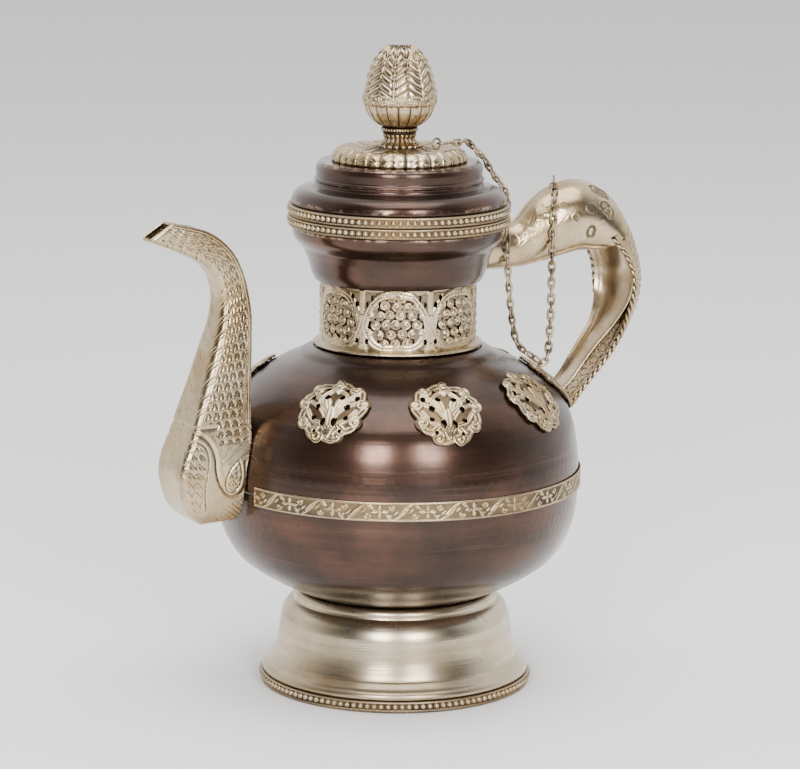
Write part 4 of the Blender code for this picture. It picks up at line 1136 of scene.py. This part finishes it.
def add_spout():
    stations = smooth(SPOUT_STATIONS, 0.40 / FINE)
    rows = len(stations)
    columns = many(300)
    front = stations[:, :2] * (-1, 1)
    back = stations[:, 2:4] * (-1, 1)
    half = stations[:, 4]
    depth = np.linalg.norm(back - front, axis=1)
    corner = half * (0.17 + 0.20 * step_up(front[:, 1], 146.0, 175.0))
    share = np.linspace(-1, 1, columns)
    # the outline runs from one back edge over the front to the other back edge
    side_length = depth - corner
    bow = corner * math.pi / 2
    total = 2 * side_length + 2 * bow + 2 * (half - corner)
    run = (share[None] + 1) / 2 * total[:, None]
    run = np.where(share[None] > 0, total[:, None] - run, run)
    sign = np.where(share > 0, 1.0, -1.0)[None]
    on_side = np.clip(run, 0, side_length[:, None])
    on_bow = np.clip(run - side_length[:, None], 0, bow[:, None])
    on_front = np.clip(run - (side_length + bow)[:, None], 0, None)
    turn = on_bow / np.maximum(corner[:, None], 1e-6)
    inward = depth[:, None] - on_side - corner[:, None] * np.sin(turn)
    outward = half[:, None] - corner[:, None] * (1 - np.cos(turn)) - on_front
    swell = 0.055 * half[:, None] * np.sin(math.pi * np.clip(on_side / side_length[:, None], 0, 1))
    y = sign * (outward + swell * 0.6 - 0.03 * half[:, None])
    direction = (back - front) / depth[:, None]
    plane = front[:, None] + direction[:, None] * inward[..., None]
    points = np.stack([plane[..., 0], y, plane[..., 1]], -1)
    x, z = points[..., 0], points[..., 2]
    path = arc_of((front + back) / 2)
    from_base = (path[-1] - path)[:, None]
    facing_side = on_bow <= 0
    across = inward

    pitch = 4.9
    scale = scales(from_base + 0 * across, across, pitch, 4.55 - 0.9 * step_up(z, 150, 235))
    smooth_metal = 0.72
    height = np.full(points.shape[:2], smooth_metal)
    taper = 3.0 + 8.5 * step_up(210 - z, 0, 80)
    scaly = (across < depth[:, None] - taper * 0.42 * step_up(depth[:, None], 12, 22) - 1.2) & (across > 1.3) & facing_side
    scaly &= (z > 145.0) & (from_base < path[-1] - 4.0)
    height = np.where(scaly, scale, height)
    near_back = depth[:, None] - across
    height = np.where(near_back < 2.6, 0.85 - 0.5 * ridge(near_back - 2.5, 0.3) - 0.45 * ridge(near_back - 1.2, 0.25), height)

    # feathers up the front, from the ring to the tip
    front_zone = (~facing_side | (across < 1.3)) & (z > 147.0)
    lateral = np.abs(y)
    leaf_share = (from_base / 8.6 - lateral / 12.0) % 1
    strokes = 0.5 + 0.5 * np.cos((from_base / 3.4 - lateral / 2.3) * math.tau)
    feather = 0.10 + 0.90 * leaf_share**0.5 - 0.50 * strokes * leaf_share - 0.35 * ridge(lateral, 0.7)
    feather = np.where(from_base > path[-1] - 4.0, 0.75, feather)
    height = np.where(front_zone & ~scaly, feather, height)

    # bulb: lobes of scales framed by ribs, a plain front strip and a hatched floor
    bulb = z < 147.5
    side_lobe = np.vstack([elliptic_arc(-122.5, 131.0, 7.0, 9.5, 140, 0), wave(-116.5, 1.0, 131.0, 104.5, 17.0)])
    s_rib = np.vstack([
        [(-131.0, 146.0)],
        elliptic_arc(-127.0, 128.0, 15.5, 18.0, 90, 0),
        elliptic_arc(-100.5, 128.0, 11.0, 17.0, 180, 270),
        elliptic_arc(-100.5, 118.0, 5.5, 7.0, 270, 360),
        [(-95.0, 128.0)],
    ])
    front_rib = np.vstack([[(-131.0, 145.0)], elliptic_arc(-117.0, 124.0, 13.5, 21.0, 180, 264)])
    tear = drop(-101.2, 121.3, 5.2, 8.3, 0.3)
    sides = (on_front <= 0) & bulb
    s_distance = to_line(x, z, s_rib)
    f_distance = to_line(x, z, front_rib)
    lobe_distance = to_line(x, z, side_lobe)
    tear_distance = to_line(x, z, tear)
    lobe_side = side_lobe[side_lobe[:, 0] > -122.5][::-1]
    rib_side = front_rib[::-1]
    left = sides & (x < np.interp(z, lobe_side[:, 1], lobe_side[:, 0])) & (z > 103.5) & (z < 141.0)
    left &= x > np.interp(z, rib_side[:, 1], rib_side[:, 0])
    bulb_scale = scales(z - 100.0 + 0.18 * (x + 120), x + 0.35 * (z - 120.0), 5.0, 4.7)
    bulb_height = np.full(height.shape, 0.66)
    bulb_height = np.where(left, bulb_scale, bulb_height)
    right_scales = sides & (x > -111.5 + 0.10 * (145 - z)) & (z > 136.0)
    bulb_height = np.where(right_scales, scales(from_base + 0 * x, across, pitch, 4.6), bulb_height)
    tear_inside = (np.hypot((x + 101.8) / 4.2, (z - 119.6) / 7.8) < 1) & sides
    bulb_height = np.where(tear_inside, scales(z - 100.0, x + 100.0, 3.9, 3.9), bulb_height)
    hatch_zone = sides & (z < 104.6 + 0.10 * (x + 128))
    hatch = 0.70 - 0.34 * (0.5 + 0.5 * np.cos((x * 0.62 + z * 0.9) / 2.3 * math.tau))
    bulb_height = np.where(hatch_zone, hatch, bulb_height)
    fan = sides & (z > 127.5) & (z < 138.0) & (x > -110.5) & ~tear_inside
    fan_turn = np.arctan2(z - 124.0, x + 112.0)
    bulb_height = np.where(fan, 0.74 - 0.34 * (0.5 + 0.5 * np.cos(fan_turn * 22.0)), bulb_height)
    for distance, width, lift in ((s_distance, 1.25, 0.62), (f_distance, 0.62, 0.42), (lobe_distance, 0.62, 0.42), (tear_distance, 0.62, 0.42)):
        rib = ridge(distance, width)
        groove = ridge(distance - width * 1.75, 0.42)
        bulb_height = np.where(sides, bulb_height - 0.42 * groove * (rib < 0.4), bulb_height)
        bulb_height = np.where(sides & (rib > 0.2), np.maximum(bulb_height, 0.55 + lift * rib), bulb_height)
    strip = (on_front > 0) & bulb
    strip_height = 0.74 - 0.60 * ridge(np.abs(y) - 0.62 * half[:, None], 0.5)
    strip_height = strip_height - 0.40 * ridge(np.abs(y) - 0.80 * half[:, None], 0.4)
    bulb_height = np.where(strip, strip_height, bulb_height)
    height = np.where(bulb, bulb_height, height)
    ring = ridge(z - 146.6 - 0.02 * (x + 130), 1.3) * (across < 12.0)
    height = height - 0.5 * ridge(np.abs(z - 146.6) - 2.2, 0.5) * (across < 9.0)
    height = np.where(ring > 0.25, np.maximum(height, 0.55 + 0.55 * ring), height)
    tip_band = ridge(from_base - path[-1] + 0.9, 0.9)
    height = np.maximum(height, 0.6 + 0.4 * tip_band * (tip_band > 0.2))
    height *= 1 - 0.03 * random.random(height.shape)

    points = raised(points, 0.95 * (height - 0.72), side=1.0)
    relief = step_up(height, 0.10, 0.92)
    trimmed = np.hypot(points[..., 0], points[..., 1])
    belly_radius = np.interp(points[..., 2], BELLY_HEIGHTS, BELLY_RADII)
    outside = trimmed > belly_radius + 0.25
    keep = outside[:-1] & outside[1:]
    keep = keep[:, :-1] & keep[:, 1:]
    obj = grid_mesh("spout_skin", points, relief, keep=keep)
    finish_piece(obj, "jug", ["spout_body"], METAL, 1.0)


belly_line = np.vstack([bowl[::-1], shoulder[::-1]])
BELLY_HEIGHTS, BELLY_RADII = belly_line[:, 1], belly_line[:, 0]
add_spout()

# ---- handle -------------------------------------------------------------------------
HEAD_STATIONS = [  # centre x, centre z, slope in degrees, half height, half width
    (50.0, 226.0, 0.0, 10.2, 6.7),
    (61.0, 226.1, 0.0, 10.4, 7.0),
    (70.0, 226.8, 9.0, 10.8, 8.3),
    (78.0, 229.6, 24.0, 12.7, 10.7),
    (86.0, 234.2, 27.0, 15.5, 13.1),
    (94.0, 238.2, 18.0, 17.3, 15.1),
    (103.0, 240.6, 2.0, 17.9, 16.5),
    (111.5, 239.2, -17.0, 16.8, 17.5),
    (119.6, 234.0, -38.0, 13.7, 18.5),
    (124.4, 229.4, -50.0, 9.8, 19.0),
]


def add_head():
    stations = smooth([(*s[:2], s[2], *s[3:]) for s in HEAD_STATIONS], 0.42 / FINE)
    turns = circle(many(300))
    slope = np.radians(stations[:, 2])[:, None]
    high, wide = stations[:, 3][:, None], stations[:, 4][:, None]
    rise = high * np.cos(turns)
    x = stations[:, 0][:, None] - np.sin(slope) * rise
    z = stations[:, 1][:, None] + np.cos(slope) * rise
    y = wide * np.sin(turns) + 0 * x
    points = np.stack([x, y, z], -1)
    along = arc_of(stations[:, :2])[:, None]
    lean = np.abs(np.where(turns > math.pi, turns - math.tau, turns))[None]
    around = lean * (high + wide) / 2
    height = np.full(x.shape, 0.7)
    # feather tufts in four collars along the neck of the head
    for start, low, high_turn, count in ((22.0, 0.9, 2.7, 4), (33.0, 0.5, 2.2, 4), (44.0, 1.3, 2.8, 4), (56.0, 1.7, 2.9, 4)):
        edge = start + 3.2 * np.abs(np.sin(lean * count))
        local = along - edge
        zone = (local > -7.0) & (local < 0.0) & (lean > low) & (lean < high_turn)
        strokes = 0.5 + 0.5 * np.cos((around / 2.1 + along * 0.12) * math.tau)
        tuft = 1.05 + 0.06 * local - 0.62 * strokes**2
        height = np.where(zone, tuft, height)
        height = np.where((np.abs(local - 0.5) < 0.7) & (lean > low) & (lean < high_turn), 0.12, height)
    # ring punches on the crown
    punches = [(47, 0.95), (56, 0.55), (59, 1.25), (51, 1.45), (42, 0.60), (64, 0.85), (66, 1.6), (38, 0.95)]
    for at, turn in punches:
        size = 1.7 + 0.3 * math.sin(at)
        d = np.hypot(along - at, around - turn * (high + wide) / 2)
        height = np.minimum(height, 0.7 - 0.60 * ridge(d - size, 0.42))
        height = np.maximum(height, 0.62 + 0.25 * dome(d, size * 0.75))
    # curls near the top seam and at the crown's end
    for at, turn, size, hand in ((64.0, 0.55, 3.2, 1), (66.0, 1.15, 3.0, -1), (60.5, 1.95, 2.6, 1), (70.0, 0.30, 2.4, -1)):
        curl = spiral(along + 0 * around, around + 0 * along, at, turn * 17.0, size, 1.3, 0.8, hand)
        height = np.where(curl < 0.9, 0.75 + 0.35 * dome(curl, 0.9), height)
        height = np.where((curl > 0.9) & (curl < 1.35), 0.38, height)
    seam = ridge(around, 0.55)
    height = height - 0.30 * seam
    lip = lean > 2.62
    hatch = 0.62 - 0.22 * (0.5 + 0.5 * np.cos(along / 1.5 * math.tau))
    height = np.where(lip & (along > 30), hatch, height)
    points = raised(points, 0.9 * (height - 0.7), loop_v=True, side=-1.0)
    radius = np.hypot(points[..., 0], points[..., 1])
    collar_radius = np.interp(points[..., 2], [214.2, 217.5, 221.5, 226.0, 229.8, 233.8, 236.4, 241.8], [43.6, 45.1, 46.2, 47.6, 49.3, 52.6, 54.4, 55.4])
    outside = (radius > collar_radius + 0.2)
    keep = outside[:-1] & outside[1:]
    keep = keep & np.roll(keep, -1, 1)
    obj = grid_mesh("handle_head_skin", points, step_up(height, 0.2, 0.75), loop_v=True, keep=keep, flip=True)
    finish_piece(obj, "jug", ["handle_head"], METAL, 1.1)


add_head()
CHANNEL_STATIONS = [  # outermost x and z, direction it faces in degrees, half width, depth
    (129.6, 242.2, 48.0, 18.8, 17.0),
    (136.5, 229.2, 27.0, 19.4, 14.0),
    (140.5, 216.0, 10.0, 19.8, 11.5),
    (141.5, 205.0, -2.0, 20.0, 10.3),
    (139.5, 194.0, -15.0, 18.6, 9.6),
    (134.5, 184.4, -29.0, 15.2, 8.0),
    (127.3, 176.4, -36.0, 11.9, 5.6),
    (119.5, 169.2, -40.0, 10.0, 4.2),
    (111.5, 160.6, -42.0, 8.7, 3.2),
    (103.6, 151.6, -42.0, 8.0, 2.4),
    (92.0, 141.6, -42.0, 8.0, 2.0),
]
SPINE_STATIONS = [
    (131.0, 243.6, 48.0, 20.8, 17.6),
    (138.2, 230.0, 27.0, 21.4, 14.6),
    (142.2, 216.3, 10.0, 21.8, 12.0),
    (143.2, 205.0, -2.0, 22.0, 10.7),
    (141.8, 193.4, -15.0, 20.5, 9.7),
    (138.2, 182.6, -27.0, 16.2, 7.2),
    (134.0, 174.0, -33.0, 11.4, 3.6),
    (128.2, 165.6, -39.0, 10.0, 2.6),
    (121.0, 157.4, -43.0, 9.6, 2.2),
    (112.4, 148.4, -43.0, 9.4, 2.0),
    (104.6, 139.6, -36.0, 9.2, 1.8),
    (102.8, 137.2, -34.0, 9.0, 1.6),
]


def inside_head(points, margin):
    """Which points lie within the head's ovals, grown by the margin."""
    stations = smooth(HEAD_STATIONS, 1.5)
    inside = np.zeros(points.shape[:-1], bool)
    for x, z, slope, high, wide in stations:
        turn = math.radians(slope)
        along = (points[..., 0] - x) * math.cos(turn) + (points[..., 2] - z) * math.sin(turn)
        rise = -(points[..., 0] - x) * math.sin(turn) + (points[..., 2] - z) * math.cos(turn)
        oval = (rise / (high + margin)) ** 2 + (points[..., 1] / (wide + margin)) ** 2
        inside |= (oval < 1) & (np.abs(along) < 1.4)
    return inside


def strap(name, node, stations, chased, material):
    line = smooth(stations, 0.42 / FINE)
    share = np.linspace(-1, 1, many(170))
    facing = np.radians(line[:, 2])[:, None]
    half, depth = line[:, 3][:, None], line[:, 4][:, None]
    drop = depth * np.abs(share) ** 2.4
    x = line[:, 0][:, None] - np.cos(facing) * drop
    z = line[:, 1][:, None] - np.sin(facing) * drop
    y = half * share[None]
    points = np.stack([x, y, z], -1)
    along = arc_of(line[:, :2])[:, None]
    across = np.abs(y)
    edge = half - across
    if chased:
        rows = scales(along * -1.0 + 400.0, y, 4.2, 4.0)
        height = np.where(edge > 2.2, rows, 0.7)
        height = np.where(np.abs(edge - 2.4) < 0.35, 0.25, height)
        teeth = 0.62 + 0.35 * (0.5 + 0.5 * np.cos(along / 2.1 * math.tau))
        height = np.where(edge < 2.1, teeth, height)
        height = np.maximum(height, 0.55 + 0.5 * ridge(across, 0.8))
    else:
        height = 0.7 - 0.05 * ridge(edge - 2.2, 0.5) + 0.0 * along
    points = raised(points, 0.9 * (height - 0.7), side=1.0)
    belly_radius = np.interp(points[..., 2], BELLY_HEIGHTS, BELLY_RADII)
    outside = np.hypot(points[..., 0], points[..., 1]) > belly_radius + 0.25
    outside &= ~inside_head(points, 0.6)
    keep = outside[:-1] & outside[1:]
    keep = keep[:, :-1] & keep[:, 1:]
    relief = step_up(height, 0.2, 0.75)
    obj = grid_mesh(name, points, relief, keep=keep)
    finish_piece(obj, "jug", [node], material, 1.1)


def add_rope(name, side):
    """A twisted border that follows the strap's edge between its two sheets."""
    line = smooth(SPINE_STATIONS, 0.5 / FINE)
    facing = np.radians(line[:, 2])
    drop = line[:, 4] + 0.9
    centre = np.stack(
        [
            line[:, 0] - np.cos(facing) * drop,
            side * (line[:, 3] - 0.9),
            line[:, 1] - np.sin(facing) * drop,
        ],
        1,
    )
    belly_radius = np.interp(centre[:, 2], BELLY_HEIGHTS, BELLY_RADII)
    centre = centre[(np.hypot(centre[:, 0], centre[:, 1]) > belly_radius + 1.2) & ~inside_head(centre, 0.0)]
    ahead = np.gradient(centre, axis=0)
    ahead /= np.linalg.norm(ahead, axis=1, keepdims=True)
    out = np.cross(ahead, (0.0, 1.0, 0.0))
    out /= np.linalg.norm(out, axis=1, keepdims=True)
    up = np.cross(out, ahead)
    turn = circle(14)
    twist = arc_of(centre)[:, None] / 4.4 * math.tau
    reach = 1.25 + 0.35 * np.cos(2 * turn[None] - twist)
    tube = centre[:, None] + reach[..., None] * (
        np.cos(turn)[None, :, None] * out[:, None] + np.sin(turn)[None, :, None] * up[:, None]
    )
    obj = grid_mesh(name, tube, (reach - 0.9) / 0.7, loop_v=True, flip=True)
    finish_piece(obj, "jug", [], METAL)


add_rope("handle_rope_left", -1.0)
add_rope("handle_rope_right", 1.0)
strap("handle_channel_skin", "handle_channel", CHANNEL_STATIONS, False, METAL_SMOOTH)
strap("handle_spine_skin", "handle_spine", SPINE_STATIONS, True, METAL)


def add_terminal():
    """A domed flower boss where the strap's outer sheet ends on the belly."""
    reach = np.linspace(0.02, 1, many(60))
    turns = circle(many(240))
    r, t = np.meshgrid(reach, turns, indexing="ij")
    petals = np.sqrt(np.clip(1 - (((t * 8 / math.tau) % 1 - 0.5) / 0.46) ** 2, 0, 1))
    out = 97.0 + 6.6 * np.sqrt(np.clip(1 - r**2, 0, 1))
    zone = step_up(r, 0.30, 0.40) * (1 - step_up(r, 0.93, 1.0))
    lift = 0.9 * petals * zone + 0.6 * dome(r, 0.28)
    points = np.stack([out + lift, 8.6 * r * np.cos(t), 126.0 + 8.6 * r * np.sin(t)], -1)
    obj = grid_mesh("handle_terminal_skin", points, 0.15 + 0.75 * np.clip(lift, 0, 1), loop_v=True, flip=True)
    finish_piece(obj, "jug", ["handle_terminal"], METAL, 0.8)


add_terminal()


# ---- eyes and jump rings ------------------------------------------------------------
def wire_loop(name, node, body, wire):
    """A round wire ring, finer than the CAD ring and in its place."""
    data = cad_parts[node].data
    count = len(data.vertices)
    at = np.empty(count * 3)
    data.vertices.foreach_get("co", at)
    at = at.reshape(-1, 3) @ np.array(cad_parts[node].matrix_world)[:3, :3].T
    at = at / MM
    centre = at.mean(0)
    _, _, axes = np.linalg.svd(at - centre, full_matrices=False)
    normal, side = axes[2], axes[0]
    up = np.cross(normal, side)
    radius = np.linalg.norm((at - centre) - np.outer((at - centre) @ normal, normal), axis=1)
    radius = (radius.max() + radius.min()) / 2
    around, turn = circle(56), circle(12)
    out = np.cos(around)[:, None] * side + np.sin(around)[:, None] * up
    tube = centre + out[:, None] * (radius + wire * np.cos(turn)[:, None]) + wire * np.sin(turn)[:, None] * normal
    obj = grid_mesh(name, tube, None, loop_u=True, loop_v=True)
    finish_piece(obj, body, [node], WIRE)


for name, body, wire in (
    ("lid_eye", "lid", 0.55),
    ("handle_eye", "jug", 0.55),
    ("lid_jump_ring", "lid_ring", 0.5),
    ("handle_jump_ring", "handle_ring", 0.5),
):
    wire_loop(name + "_wire", name, body, wire)

for node, material in (
    ("neck_tube", COPPER_LID),
    ("lid_skirt", COPPER_LID),
    ("finial_rod", METAL_PLAIN),
    ("finial_nut", METAL_PLAIN),
    ("spout_back", METAL_PLAIN),
):
    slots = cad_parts[node].data.materials
    slots.clear()
    slots.append(material)


# ---- stage --------------------------------------------------------------------------
def add_stage():
    bpy.ops.mesh.primitive_plane_add(size=9.0, location=(0.0, 0.0, -0.0004))
    floor = bpy.context.object
    floor.name = "floor"
    s = Shader("floor_pale")
    s.set("Base Color", (0.97, 0.965, 0.96, 1.0))
    s.set("Roughness", 0.6)
    floor.data.materials.append(s.material)


def softbox(name, azimuth, elevation, distance, width, height, power, colour=(1.0, 1.0, 1.0)):
    """A rectangular lamp aimed at the belly, its place given from the camera's direction."""
    data = bpy.data.lights.new(name, "AREA")
    data.shape = "RECTANGLE"
    data.size, data.size_y = width, height
    data.energy = power
    data.color = colour
    lamp = bpy.data.objects.new(name, data)
    bpy.context.scene.collection.objects.link(lamp)
    heading = CAMERA_AZIMUTH + math.radians(azimuth)
    lift = math.radians(elevation)
    away = Vector((math.sin(heading) * math.cos(lift), -math.cos(heading) * math.cos(lift), math.sin(lift)))
    aim = Vector((0.0, 0.0, 0.15))
    lamp.location = aim + away * distance
    lamp.rotation_euler = away.to_track_quat("Z", "Y").to_euler()


def add_world():
    world = bpy.data.worlds.new("studio")
    world.use_nodes = True
    tree = world.node_tree
    background = tree.nodes["Background"]
    coordinate = tree.nodes.new("ShaderNodeTexCoord")
    facing = tree.nodes.new("ShaderNodeVectorMath")
    facing.operation = "DOT_PRODUCT"
    tree.links.new(coordinate.outputs["Generated"], facing.inputs[0])
    facing.inputs[1].default_value = (math.sin(CAMERA_AZIMUTH), -math.cos(CAMERA_AZIMUTH), 0.0)
    shade = tree.nodes.new("ShaderNodeMapRange")
    for socket, value in ((1, -0.30), (2, 0.45), (3, 1.45), (4, 0.06)):
        shade.inputs[socket].default_value = value
    tree.links.new(facing.outputs["Value"], shade.inputs[0])
    tree.links.new(shade.outputs[0], background.inputs["Strength"])
    background.inputs["Color"].default_value = (1.0, 0.99, 0.98, 1.0)
    bpy.context.scene.world = world


add_stage()
add_world()
softbox("window_left", -13.0, 19.0, 2.6, 0.62, 0.95, 44.0)
softbox("window_right", 21.0, 19.0, 2.6, 0.62, 0.95, 44.0)
softbox("overhead", 10.0, 78.0, 2.2, 2.0, 2.0, 60.0)
